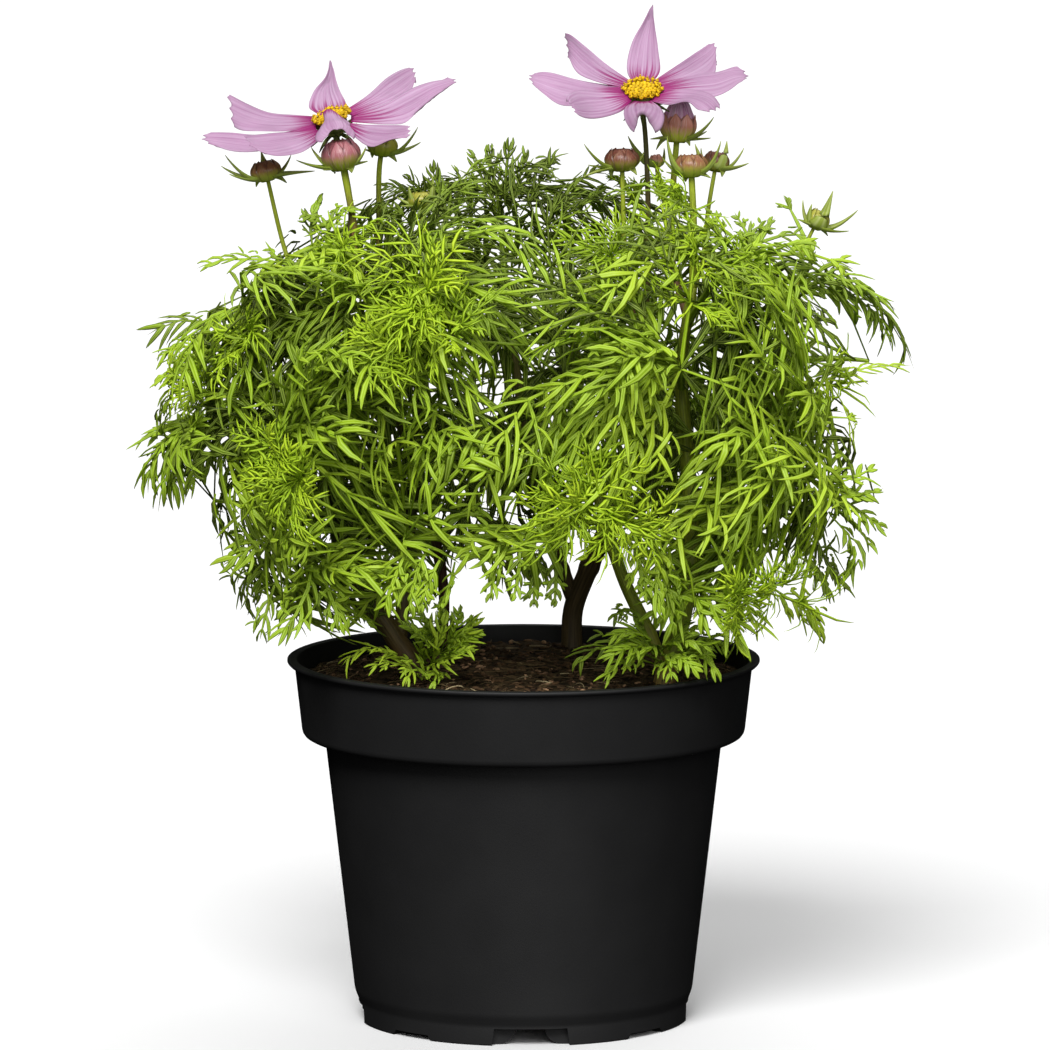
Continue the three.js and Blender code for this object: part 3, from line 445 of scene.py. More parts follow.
# The crown. Its outline is in the photograph's columns and rows.
CROWN_OUTLINE = [
    (290, 234), (318, 228), (335, 222), (352, 214), (372, 208), (392, 196), (410, 188), (440, 178),
    (455, 170), (475, 162), (500, 156), (530, 155), (560, 158), (590, 163), (612, 170), (636, 168),
    (650, 164), (668, 166), (690, 186), (702, 198), (712, 218), (730, 224), (760, 232), (785, 236),
    (805, 240), (825, 244), (845, 258), (860, 272), (880, 288), (896, 304), (906, 325), (892, 326),
    (868, 304), (835, 306), (820, 312), (824, 335), (835, 352), (846, 372), (842, 392), (838, 410),
    (844, 425), (846, 445), (852, 462), (862, 478), (868, 495), (872, 512), (874, 530), (862, 543),
    (846, 555), (838, 570), (822, 578), (810, 580), (796, 580), (782, 586), (768, 594), (758, 612),
    (764, 632), (764, 648), (750, 656), (722, 664), (702, 654), (690, 640), (680, 628), (666, 612),
    (652, 600), (640, 582), (625, 570), (600, 566), (580, 562), (562, 576), (548, 598), (530, 604),
    (515, 596), (500, 588), (486, 582), (466, 566), (450, 584), (440, 602), (428, 612), (405, 620),
    (385, 624), (362, 640), (340, 642), (320, 640), (300, 634), (280, 630), (265, 620), (256, 600),
    (248, 575), (240, 555), (232, 535), (230, 515), (232, 500), (228, 485), (216, 470), (200, 478),
    (192, 500), (176, 514), (158, 516), (142, 498), (134, 470), (148, 450), (160, 440), (165, 425),
    (160, 408), (163, 395), (170, 380), (165, 368), (170, 350), (168, 335), (185, 322), (205, 320),
    (225, 325), (240, 318), (246, 300), (240, 285), (235, 270), (240, 258), (262, 250), (280, 240),
]
RAGGED = (0.97, 1.03)
DOME = {
    "half_length": 150, "half_depth": 112, "half_height": 100, "middle": 228,
    "least": 0.02, "leaf_centre": 198, "tuft_centre": 208,
}
# How far forward a leaf may reach.
CROWN_FRONT = -127
# Layers of leaves from front to back: depth, spacing of the leaves' tips, and tone. The tone is painted
# shade: leaves deep inside the crown are darker than those at its front and back.
CROWN_LAYERS = [
    (-0.97, 18, 0.62), (-0.7, 19, 0.36), (-0.35, 23, 0.08), (0.1, 27, 0), (0.5, 26, 0.1), (0.9, 20, 0.4),
]
LAYER_SPREAD = {"across": 0.3, "deep": 0.12}
# Between these rows of the photograph leaves turn narrower towards the top, and darker there as painted
# shade.
TOP_ROWS = {"high": 200, "low": 290, "darker": 0.5, "narrower": 0.35}
# Places in the crown that stay open, as column, row and radius in the photograph.
CLEARINGS = [
    (515, 513, 16), (538, 211, 7), (577, 238, 5), (708, 214, 7), (842, 335, 12), (852, 400, 8),
    (712, 345, 4), (715, 380, 5), (676, 400, 6), (466, 594, 10),
]
# Stretches of stem that show through the leaves, as column, rows, half width and depth.
STEM_VIEWS = [
    (691, 262, 440, 14, -24), (275, 184, 236, 8, -2), (349, 170, 216, 8, -8), (380, 154, 204, 7, 4),
    (622, 172, 204, 8, -8), (647, 150, 205, 8, 4), (692, 178, 222, 8, -12), (706, 172, 205, 7, 4),
]

# Leaves. Sections and outlines are shares of a leaflet's width and length.
GROOVED = [(-1, 0), (-0.5, 0.9), (0, 0.3), (0.5, 0.9), (1, 0), (0, -0.9)]
PLAIN = [(-1, 0), (0, 0.8), (1, 0), (0, -0.8)]
# Leaflets further back than this have the plain section.
GROOVES_UNTIL = -10
LEAF_OUTLINE = [(0, 0.55), (0.3, 1.0), (0.65, 0.84), (0.9, 0.36)]
LEAF_THICKNESS = {"least": 0.2, "share": 0.22}
RIB_WIDTH = 0.9
# A leaf of the dome: its ranges, how far it turns its face outward and upward, and the shares of
# its midrib that have to lie in the crown.
DOME_LEAF = {
    "length": (36, 72), "half_width": (0.9, 1.35), "tone_scatter": 0.13,
    "outward": (0.3, 1.1), "upward": 0.5, "up_scatter": 0.22,
    "arch": (0.06, 0.3), "sway": 0.1, "tested": (0.5, 0.75, 1),
}
# How a leaf of the dome picks its twig place: the gap and facing it wants, and what it costs to
# miss them or to grow upwards.
CARRIER = {
    "gap": (40, 72), "facing": (-0.1, 0.8), "sideways": 0.6,
    "facing_cost": 32, "rise": 40, "rise_cost": (4, 9),
}
# Ranges of how a leaf folds and droops to the sides, and of how its leaflets bend forward.
LEAF_FORM = {"fold": (0.1, 0.5), "droop": (0.4, 1.6), "bend": (0.3, 0.95)}
# Pairs of leaflets along a midrib, with their angles in degrees: they close towards its end. The
# leaflets of a leaf longer than full_until are smaller for its length.
LEAF_PAIRS = {
    "first": 0.18, "last": 0.82, "past_end": 1.15, "count": 6, "angle": 56, "closing": 28, "full_until": 55,
}
LEAFLET_SIZES = [(0.1, 0.36), (0.4, 0.46), (0.65, 0.38), (0.82, 0.28)]
LEAFLET_SCATTER = {
    "place": 0.012, "angle": 6, "size": (0.8, 1.15), "width": (0.8, 1.15), "tone": 0.09,
    "bend": 0.3, "sink": (0.2, 0.2), "tilt": 0.25,
}
# The place that decides whether a leaflet stays, as shares of its start, knee and tip.
GUIDE = (0.05, 0.1, 0.85)
# Lobes grow on both sides of the leaflets of the lowest pairs.
LOBES = {"pairs": 3, "turn": 0.6, "chance": 0.7, "place": (0.35, 0.55), "size": (0.3, 0.5), "width": 0.85}
# Darkest, middle and lightest leaf, and the paler ridges along a leaflet, which are partly painted
# highlight.
LEAF_GREENS = [(0.024, 0.048, 0.0003), (0.25, 0.415, 0.001), (0.41, 0.575, 0.014), (0.52, 0.67, 0.12)]
YOUNG_GREENS = [(0.13, 0.25, 0.001), (0.31, 0.50, 0.003), (0.54, 0.73, 0.02), (0.58, 0.74, 0.08)]

# Tufts of young leaves, as picked places with their radius.
TUFT = {
    "leaves": 9, "turn": 2.4, "pairs": 5, "reach": 1.1, "outward": (0.1, 1), "length": (0.8, 1.3),
    "up_scatter": 0.3, "arch": (0.05, 0.25), "sway": 0.12, "tone": (0.2, 0.8), "half_width": (0.5, 0.65),
    "overlap": 1.5, "stalk_radii": (0.9, 0.6), "stalk_arch": 0.15, "stalk_places": 14,
}
TUFTS = [
    (425, 300, -95, 24), (448, 335, -98, 20), (405, 345, -96, 18), (590, 505, -100, 26),
    (625, 520, -90, 22), (560, 495, -98, 20), (692, 262, -62, 24), (690, 305, -75, 18),
    (300, 480, -80, 20), (280, 450, -76, 16), (255, 345, -60, 18), (205, 392, -40, 16),
    (830, 385, -30, 20), (800, 600, -55, 18), (770, 585, -60, 18), (350, 260, -60, 18),
    (610, 260, -70, 18), (735, 590, -70, 16), (664, 202, -14, 15), (684, 214, -30, 15),
    (632, 200, 2, 12),
]

PICKED_LEAF = {
    "up": (0, -0.6, 0.9), "up_scatter": 0.2,
    "stalk_up": (0.3, -0.5, 0.8), "stalk_arch": 0.2, "overlap": 2,
}
# Leaves picked in the photograph: the start, middle and end of the midrib, the tone, the half
# width of a leaflet, how many pairs of leaflets there are and how far they reach, by the node that
# carries them.
PICKED_LEAVES = {
    "left_basal_leaves": [
        ((432, 652, -48), (418, 634, -54), (398, 622, -56), 0.4, 0.85, 7, 0.8),
        ((434, 650, -46), (426, 624, -50), (410, 606, -52), 0.5, 0.85, 7, 0.8),
        ((438, 650, -44), (444, 624, -50), (436, 602, -52), 0.35, 0.85, 7, 0.8),
        ((440, 650, -46), (456, 628, -52), (458, 606, -54), 0.5, 0.85, 7, 0.8),
        ((442, 652, -46), (464, 632, -54), (474, 614, -56), 0.4, 0.85, 7, 0.8),
        ((442, 654, -48), (464, 640, -56), (484, 632, -58), 0.5, 0.85, 7, 0.8),
        ((440, 656, -50), (460, 650, -58), (476, 650, -60), 0.4, 0.85, 6, 0.8),
        ((430, 668, -40), (438, 645, -52), (446, 612, -56), 0.8, 0.85, 6, 0.8),
        ((430, 668, -40), (455, 645, -54), (482, 616, -58), 0.85, 0.85, 7, 0.8),
        ((428, 668, -40), (450, 655, -56), (476, 648, -62), 0.8, 0.8, 5, 0.8),
        ((426, 664, -38), (418, 640, -46), (410, 614, -50), 0.6, 0.8, 5, 0.8),
        ((418, 676, -38), (375, 648, -46), (340, 668, -50), 0.95, 0.7, 6, 0.8),
        ((422, 680, -40), (395, 662, -46), (368, 670, -50), 0.8, 0.7, 4, 0.8),
        ((430, 682, -42), (415, 668, -52), (405, 688, -60), 0.7, 0.7, 4, 0.8),
        ((440, 680, -40), (438, 672, -50), (432, 690, -58), 0.6, 0.7, 4, 0.8),
    ],
    "right_basal_leaves": [
        ((668, 596, -52), (704, 602, -66), (748, 634, -70), 0.55, 1.4, 4, 1.1),
        ((662, 560, -58), (668, 596, -68), (674, 640, -70), 0.5, 1.4, 4, 0.9),
        ((684, 566, -56), (664, 590, -66), (650, 626, -68), 0.55, 1.3, 4, 0.9),
        ((655, 650, -50), (636, 632, -60), (606, 640, -64), 0.45, 1.0, 6, 0.9),
        ((655, 652, -50), (634, 646, -62), (600, 664, -66), 0.5, 1.0, 6, 0.9),
        ((662, 650, -52), (684, 640, -62), (716, 652, -66), 0.45, 1.1, 5, 0.9),
        ((662, 655, -54), (680, 658, -64), (700, 676, -68), 0.5, 1.1, 5, 0.9),
        ((662, 662, -42), (610, 645, -46), (570, 672, -50), 0.3, 0.9, 6, 0.8),
        ((660, 656, -42), (636, 640, -52), (612, 652, -62), 0.5, 0.8, 5, 0.8),
        ((655, 664, -44), (625, 660, -54), (602, 684, -62), 0.6, 0.7, 5, 0.8),
        ((668, 664, -44), (698, 655, -54), (718, 678, -62), 0.45, 0.9, 5, 0.8),
        ((672, 660, -42), (705, 640, -48), (732, 655, -52), 0.4, 0.9, 5, 0.8),
        ((664, 668, -46), (668, 662, -60), (672, 682, -70), 0.55, 0.8, 4, 0.8),
        ((668, 650, -42), (686, 630, -46), (708, 632, -50), 0.5, 0.9, 4, 0.8),
        ((650, 640, -40), (630, 612, -44), (608, 622, -48), 0.35, 0.8, 5, 0.8),
        ((678, 590, -50), (735, 600, -58), (765, 640, -66), 0.75, 1.1, 5, 0.8),
        ((672, 600, -50), (715, 605, -60), (745, 660, -70), 0.75, 1.1, 5, 0.8),
    ],
    "left_top_leaves": [
        ((300, 268, -34), (243, 258, -32), (196, 269, -30), 0.5, 0.75, 6, 0.6),
        ((312, 245, -20), (312, 218, -16), (323, 196, -12), 0.3, 0.7, 6, 0.8),
        ((335, 240, -20), (318, 220, -20), (298, 216, -20), 0.35, 0.7, 6, 0.8),
        ((325, 245, -20), (338, 212, -20), (358, 214, -20), 0.4, 0.7, 6, 0.8),
    ],
    "top_left_leaves": [
        ((432, 222, 30), (408, 192, 26), (376, 187, 24), 0.16, 0.7, 6, 0.85),
        ((440, 220, 30), (422, 192, 26), (404, 174, 22), 0.16, 0.7, 6, 0.85),
        ((452, 222, 20), (440, 192, 20), (430, 162, 20), 0.2, 0.7, 6, 0.85),
        ((415, 225, 10), (385, 205, 10), (366, 214, 10), 0.25, 0.75, 5, 0.85),
        ((455, 215, 20), (466, 190, 20), (478, 176, 20), 0.18, 0.7, 5, 0.85),
    ],
    "top_centre_leaves": [
        ((478, 222, 20), (464, 190, 20), (454, 165, 20), 0.14, 0.7, 6, 0.85),
        ((500, 215, 10), (482, 178, 10), (470, 151, 10), 0.16, 0.75, 6, 0.85),
        ((500, 212, 10), (492, 172, 10), (489, 144, 10), 0.12, 0.75, 6, 0.85),
        ((505, 206, 10), (506, 172, 10), (511, 140, 10), 0.12, 0.75, 6, 0.85),
        ((510, 210, 10), (520, 176, 10), (527, 149, 10), 0.1, 0.7, 6, 0.85),
        ((520, 216, 5), (542, 178, 5), (557, 151, 5), 0.1, 0.7, 6, 0.85),
        ((540, 230, 0), (570, 190, 0), (601, 167, 0), 0.1, 0.7, 6, 0.85),
        ((530, 240, 0), (575, 208, 0), (606, 187, 0), 0.15, 0.75, 6, 0.85),
        ((505, 200, 20), (535, 168, 20), (562, 160, 20), 0.08, 0.65, 6, 0.85),
    ],
    "far_left_leaves": [
        ((240, 340, -18), (195, 319, -12), (146, 336, -8), 0.2, 0.9, 6, 1),
        ((240, 352, -24), (190, 345, -22), (155, 360, -20), 0.6, 0.8, 6, 1),
        ((255, 385, -40), (195, 366, -36), (148, 390, -30), 0.7, 1.0, 6, 0.65),
        ((250, 392, -34), (182, 380, -28), (168, 424, -24), 0.6, 0.9, 5, 0.6),
        ((275, 404, -50), (228, 394, -46), (184, 397, -40), 0.75, 1.1, 5, 1),
    ],
    "far_left_low_leaves": [
        ((222, 432, -26), (182, 448, -20), (174, 504, -16), 0.4, 1.1, 7, 0.95),
        ((210, 430, -24), (162, 444, -18), (148, 496, -14), 0.5, 1.0, 7, 0.85),
        ((250, 428, -30), (195, 424, -22), (140, 438, -14), 0.6, 0.9, 6, 1),
        ((245, 432, -28), (180, 436, -20), (138, 478, -12), 0.5, 1.0, 8, 0.85),
        ((250, 430, -30), (186, 440, -24), (158, 514, -18), 0.45, 1.0, 8, 0.75),
        ((260, 436, -32), (215, 448, -28), (184, 502, -24), 0.5, 1.0, 6, 0.7),
    ],
    "left_bottom_leaves": [
        ((276, 552, -30), (262, 574, -26), (257, 606, -22), 0.4, 1.0, 6, 0.8),
        ((270, 476, -20), (225, 490, -10), (224, 540, -2), 0.12, 0.9, 5, 1),
        ((295, 524, -50), (260, 542, -46), (222, 566, -42), 0.65, 1.1, 5, 1),
        ((268, 545, -24), (244, 580, -16), (252, 616, -10), 0.18, 0.8, 5, 1),
        ((280, 570, -40), (268, 606, -40), (260, 640, -40), 0.4, 0.8, 4, 1),
        ((312, 565, -64), (302, 604, -68), (276, 638, -72), 0.5, 1.0, 5, 1),
        ((325, 580, -60), (334, 606, -64), (346, 634, -66), 0.45, 1.0, 4, 1),
        ((334, 598, -50), (354, 612, -50), (376, 626, -50), 0.4, 1.1, 3, 0.8),
    ],
    "right_top_leaves": [
        ((722, 268, -50), (790, 252, -46), (855, 270, -38), 0.75, 1.25, 3, 0.7),
        ((720, 262, -40), (770, 238, -34), (808, 236, -28), 0.3, 1.0, 4, 1),
        ((735, 262, -30), (755, 236, -26), (776, 218, -22), 0.35, 0.8, 4, 0.7),
        ((725, 255, -30), (718, 228, -26), (706, 206, -22), 0.35, 0.75, 4, 0.7),
        ((755, 255, -30), (746, 232, -26), (734, 212, -22), 0.35, 0.75, 4, 0.7),
        ((815, 262, -20), (802, 232, -16), (783, 196, -12), 0.5, 0.9, 2, 0.7),
    ],
    "far_right_leaves": [
        ((822, 290, -18), (868, 304, -12), (892, 350, -8), 0.3, 1.0, 7, 0.9),
        ((786, 296, -26), (828, 288, -20), (858, 318, -12), 0.35, 1.0, 7, 0.85),
        ((790, 286, -24), (866, 294, -14), (915, 372, -4), 0.25, 0.9, 8, 0.65),
        ((785, 278, -24), (840, 276, -20), (898, 312, -14), 0.35, 0.9, 7, 0.7),
        ((800, 396, -34), (850, 371, -30), (914, 366, -24), 0.9, 0.65, 8, 0.5),
    ],
    "right_middle_leaves": [
        ((668, 540, -80), (656, 578, -84), (664, 618, -86), 0.65, 1.1, 5, 0.9),
        ((642, 545, -80), (640, 572, -84), (652, 598, -86), 0.6, 1.0, 4, 0.9),
        ((760, 420, -56), (815, 417, -50), (864, 419, -44), 0.65, 0.8, 3, 0.45),
        ((790, 468, -54), (845, 478, -48), (876, 464, -42), 0.6, 1.0, 5, 0.65),
        ((800, 474, -52), (850, 493, -46), (884, 488, -40), 0.6, 1.0, 6, 0.65),
        ((812, 480, -48), (855, 508, -42), (886, 532, -36), 0.45, 1.0, 6, 0.7),
    ],
    "left_centre_low_leaves": [
        ((500, 545, -90), (494, 575, -90), (490, 602, -90), 0.45, 0.9, 4, 0.8),
        ((520, 548, -90), (518, 578, -90), (512, 602, -90), 0.4, 0.9, 4, 0.8),
        ((440, 560, -85), (426, 588, -85), (420, 612, -85), 0.6, 1.1, 5, 1),
        ((455, 562, -80), (448, 590, -80), (436, 612, -80), 0.5, 1.1, 4, 1),
        ((405, 555, -80), (392, 585, -80), (384, 612, -80), 0.6, 1.1, 5, 1),
        ((428, 548, -84), (414, 582, -84), (410, 616, -84), 0.5, 1.1, 5, 1),
    ],
    "centre_low_leaves": [
        ((474, 516, -20), (505, 532, -12), (538, 582, -6), 0.22, 1.0, 6, 0.9),
        ((478, 520, -16), (498, 545, -10), (502, 592, -4), 0.25, 1.0, 6, 0.9),
        ((520, 548, -24), (536, 556, -16), (550, 584, -10), 0.3, 1.0, 6, 0.8),
        ((540, 550, -80), (535, 582, -80), (534, 608, -80), 0.3, 0.9, 4, 0.8),
        ((556, 552, -80), (556, 582, -80), (554, 608, -80), 0.3, 0.9, 4, 0.8),
    ],
    "far_right_low_leaves": [
        ((825, 500, -40), (852, 524, -34), (874, 545, -28), 0.5, 1.0, 5, 0.7),
        ((830, 515, -40), (854, 548, -38), (843, 580, -36), 0.45, 1.1, 5, 1),
        ((815, 535, -24), (830, 566, -18), (850, 590, -12), 0.2, 0.9, 6, 1),
        ((795, 555, -30), (820, 572, -28), (831, 600, -24), 0.3, 1.0, 5, 1),
        ((765, 592, -44), (804, 608, -44), (824, 642, -42), 0.75, 0.9, 6, 1),
    ],
}


# Arrays of points

def unit(vectors):
    vectors = np.asarray(vectors, float)
    return vectors / np.maximum(np.linalg.norm(vectors, axis=-1, keepdims=True), TINY)


def circle(count):
    """Evenly spaced angles around a circle."""
    return np.linspace(0, 2 * math.pi, count, endpoint=False)


def read_off(profile, shares):
    """The values of a profile, a list of shares and values, at some shares."""
    return np.interp(shares, *zip(*profile))


def spline(points, count, steps=24):
    """Evenly spaced places on the centripetal Catmull-Rom curve through points."""
    way = np.array(points, float)
    way = np.vstack([2 * way[0] - way[1], way, 2 * way[-1] - way[-2]])
    dense = []
    share = np.linspace(0, 1, steps, endpoint=False)[:, None]
    for a, b, c, d in zip(way, way[1:], way[2:], way[3:]):
        before, here, after = (np.linalg.norm(v) ** 0.5 for v in (b - a, c - b, d - c))
        start = ((b - a) / before - (c - a) / (before + here) + (c - b) / here) * here
        end = ((c - b) / here - (d - b) / (here + after) + (d - c) / after) * here
        square = 3 * (c - b) - 2 * start - end
        cube = 2 * (b - c) + start + end
        dense.append(b + start * share + square * share**2 + cube * share**3)
    dense = np.vstack([*dense, way[-2]])
    return resample(dense, np.linspace(0, 1, count))


def resample(points, shares):
    """The places at shares of a polyline's length."""
    steps = np.linalg.norm(np.diff(points, axis=0), axis=1)
    reached = np.concatenate([[0], np.cumsum(steps)])
    wanted = np.asarray(shares) * reached[-1]
    return np.stack([np.interp(wanted, reached, points[:, i]) for i in range(3)], axis=-1)


def bezier(start, middle, end, shares):
    """Places on the quadratic curve that a start, a control place and an end give."""
    t = np.asarray(shares)[..., :, None]
    return (1 - t) ** 2 * start[..., None, :] + 2 * t * (1 - t) * middle[..., None, :] \
        + t**2 * end[..., None, :]


def path_frames(path):
    """Directions along a path, and across it with as little turning as possible."""
    along = unit(np.gradient(path, axis=0))
    side = unit(np.cross(along[0], OFF_AXES["path"]))
    sides = []
    for direction in along:
        side = unit(side - direction * np.dot(side, direction))
        sides.append(side)
    sides = np.array(sides)
    return along, sides, np.cross(along, sides)


def inside(outline, x, y):
    """Which places lie inside a closed outline."""
    corners = np.array(outline, float)
    hit = np.zeros(np.shape(x), bool)
    for (x0, y0), (x1, y1) in zip(corners, np.roll(corners, -1, axis=0)):
        if y0 == y1:
            continue
        crosses = (y0 > y) != (y1 > y)
        hit ^= crosses & (x < (x1 - x0) * (y - y0) / (y1 - y0) + x0)
    return hit


def photo_place(column, row, depth, passes=6):
    """The place that the photograph shows at a pixel, at a depth behind the pot's axis."""
    height = CAMERA["aim"]
    for _ in range(passes):
        away = CAMERA["distance"] + depth * COSINE - (height - CAMERA["aim"]) * SINE
        height = CAMERA["aim"] + ((PHOTO_SIZE / 2 - row) * away / FOCAL - depth * SINE) / COSINE
    x = (column - PHOTO_SIZE / 2 + CAMERA["shift"] * PHOTO_SIZE) * away / FOCAL
    return np.array([x, depth, height])


def seen(places):
    """The photograph's columns and rows of places."""
    x, y, z = np.moveaxis(np.asarray(places, float) - (0, 0, CAMERA["aim"]), -1, 0)
    scale = FOCAL / (CAMERA["distance"] + y * COSINE - z * SINE)
    column = PHOTO_SIZE / 2 - CAMERA["shift"] * PHOTO_SIZE + x * scale
    return column, PHOTO_SIZE / 2 - (z * COSINE + y * SINE) * scale


# Meshes put together from parts

class Shape:
    """Vertices and faces of one piece. Each vertex carries where it lies across and along its
    part, and the part's tone, for the materials."""

    def __init__(self):
        self.places = []
        self.surface = []
        self.corners = []
        self.sizes = []
        self.count = 0

    def add(self, places, surface, *face_groups):
        self.places.append(places)
        self.surface.append(surface)
        for faces in face_groups:
            self.corners.append(faces.ravel() + self.count)
            self.sizes.append(np.full(len(faces), faces.shape[1]))
        self.count += len(places)


def grid_faces(rows, columns, around):
    """Quads between neighbouring rows of points, and from last to first column if around."""
    last = columns if around else columns - 1
    row, column = np.meshgrid(np.arange(rows - 1), np.arange(last), indexing="ij")
    after = (column + 1) % columns
    here, there = row * columns, (row + 1) * columns
    quads = np.stack([here + column, here + after, there + after, there + column], axis=-1)
    return quads.reshape(-1, 4)


def add_blades(shape, start, middle, end, up, half_width, thickness, tone, outline, section):
    """Closed blades along quadratic curves, each narrowing to a point at its end. The outline gives
    widths at shares of a blade's length."""
    start, middle, end, up = (np.asarray(a, float) for a in (start, middle, end, up))
    shares, widths = np.array(outline, float).T
    count, rings, around = len(start), len(widths), len(section)
    point = bezier(start, middle, end, shares)
    t = shares[None, :, None]
    along = unit((1 - t) * (middle - start)[:, None] + t * (end - middle)[:, None])
    side = unit(np.cross(along, up[:, None]))
    normal = np.cross(side, along)
    across, rise = np.array(section, float).T
    width = np.asarray(half_width)[:, None] * widths
    thick = np.asarray(thickness)[:, None] * widths**BLADE_TAPER
    ring = point[:, :, None] + side[:, :, None] * (width[..., None] * across)[..., None]
    ring = ring + normal[:, :, None] * (thick[..., None] * rise)[..., None]
    places = np.concatenate([ring.reshape(count, -1, 3), end[:, None]], axis=1)
    surface = np.zeros((count, rings * around + 1, 3))
    surface[:, :-1, 0] = np.tile((across + 1) / 2, rings)
    surface[:, :-1, 1] = np.repeat(shares, around)
    surface[:, -1, :2] = (0.5, 1)
    surface[:, :, 2] = np.asarray(tone)[:, None]
    step = np.arange(count)[:, None, None] * (rings * around + 1)
    last = (rings - 1) * around
    turn = np.arange(around)
    tips = np.stack([last + turn, last + (turn + 1) % around, np.full(around, last + around)], axis=-1)
    cap = turn[::-1][None]
    groups = (grid_faces(rings, around, True), tips, cap)
    faces = ((group[None] + step).reshape(-1, group.shape[1]) for group in groups)
    shape.add(places.reshape(-1, 3), surface.reshape(-1, 3), *faces)


def add_tube(shape, path, radii, sides, tone=0.5, wave=None):
    """A closed tube along a path. wave(angle, share) changes its radius."""
    _, side, normal = path_frames(path)
    angle = circle(sides)
    share = np.linspace(0, 1, len(path))
    radius = np.broadcast_to(np.asarray(radii, float)[:, None], (len(path), sides))
    if wave is not None:
        radius = radius * wave(angle[None], share[:, None])
    cosine, sine = np.cos(angle)[None, :, None], np.sin(angle)[None, :, None]
    outward = side[:, None] * cosine + normal[:, None] * sine
    places = (path[:, None] + outward * radius[..., None]).reshape(-1, 3)
    surface = np.zeros((len(places), 3))
    surface[:, 0] = np.tile(np.abs(1 - angle / math.pi), len(path))
    surface[:, 1] = np.repeat(share, sides)
    surface[:, 2] = tone
    first = np.arange(sides)[::-1][None]
    last = (len(path) - 1) * sides + np.arange(sides)[None]
    shape.add(places, surface, grid_faces(len(path), sides, True), first, last)


def add_sheet(shape, grid, thickness, tone=0.5, edge_share=0.35, edge_rise=8):
    """A closed thin sheet around a grid of points, thinner along its sides and its end."""
    rows, columns, _ = grid.shape
    normal = unit(np.cross(np.gradient(grid, axis=1), np.gradient(grid, axis=0)))
    across = np.linspace(0, 1, columns)[None, :]
    rise = edge_rise * np.minimum(across, 1 - across)
    edge = np.minimum(1, edge_share + rise) * np.ones((rows, 1))
    edge[-1] = edge_share
    half = normal * (edge * thickness / 2)[..., None]
    places = np.concatenate([(grid + half).reshape(-1, 3), (grid - half).reshape(-1, 3)])
    surface = np.zeros((rows, columns, 3))
    surface[..., 0] = across
    surface[..., 1] = np.linspace(0, 1, rows)[:, None]
    surface[..., 2] = tone
    surface = np.concatenate([surface.reshape(-1, 3)] * 2)
    top = grid_faces(rows, columns, False)
    under = top[:, ::-1] + rows * columns
    corner = np.arange(rows * columns).reshape(rows, columns)
    rim = np.concatenate([corner[0], corner[1:, -1], corner[-1, -2::-1], corner[-2:0:-1, 0]])
    after = np.roll(rim, -1)
    wall = np.stack([after, rim, rim + rows * columns, after + rows * columns], axis=-1)
    shape.add(places, surface, top, under, wall)


def make_piece(name, shape, material, replaced=()):
    places = np.concatenate(shape.places) * MM
    corners = np.concatenate(shape.corners)
    sizes = np.concatenate(shape.sizes)
    mesh = bpy.data.meshes.new(name)
    mesh.vertices.add(len(places))
    mesh.vertices.foreach_set("co", places.ravel())
    mesh.loops.add(len(corners))
    mesh.loops.foreach_set("vertex_index", corners)
    mesh.polygons.add(len(sizes))
    mesh.polygons.foreach_set("loop_start", np.concatenate([[0], np.cumsum(sizes)[:-1]]))
    mesh.polygons.foreach_set("loop_total", sizes)
    mesh.polygons.foreach_set("use_smooth", np.full(len(sizes), True))
    surface = np.concatenate(shape.surface)
    colours = np.concatenate([surface, np.ones((len(surface), 1))], axis=1)
    mesh.attributes.new("surface", "FLOAT_COLOR", "POINT").data.foreach_set("color", colours.ravel())
    mesh.update(calc_edges=True)
    mesh.validate()
    finish_piece(name, mesh, material, replaced)


def finish_piece(name, mesh, material, replaced=()):
    """Puts a mesh in the scene as a piece on the body, in place of the CAD nodes it replaces."""
    mesh.materials.append(material)
    piece = bpy.data.objects.new(name, mesh)
    bpy.context.scene.collection.objects.link(piece)
    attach(piece, "root")
    if replaced:
        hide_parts(*replaced)


# Materials

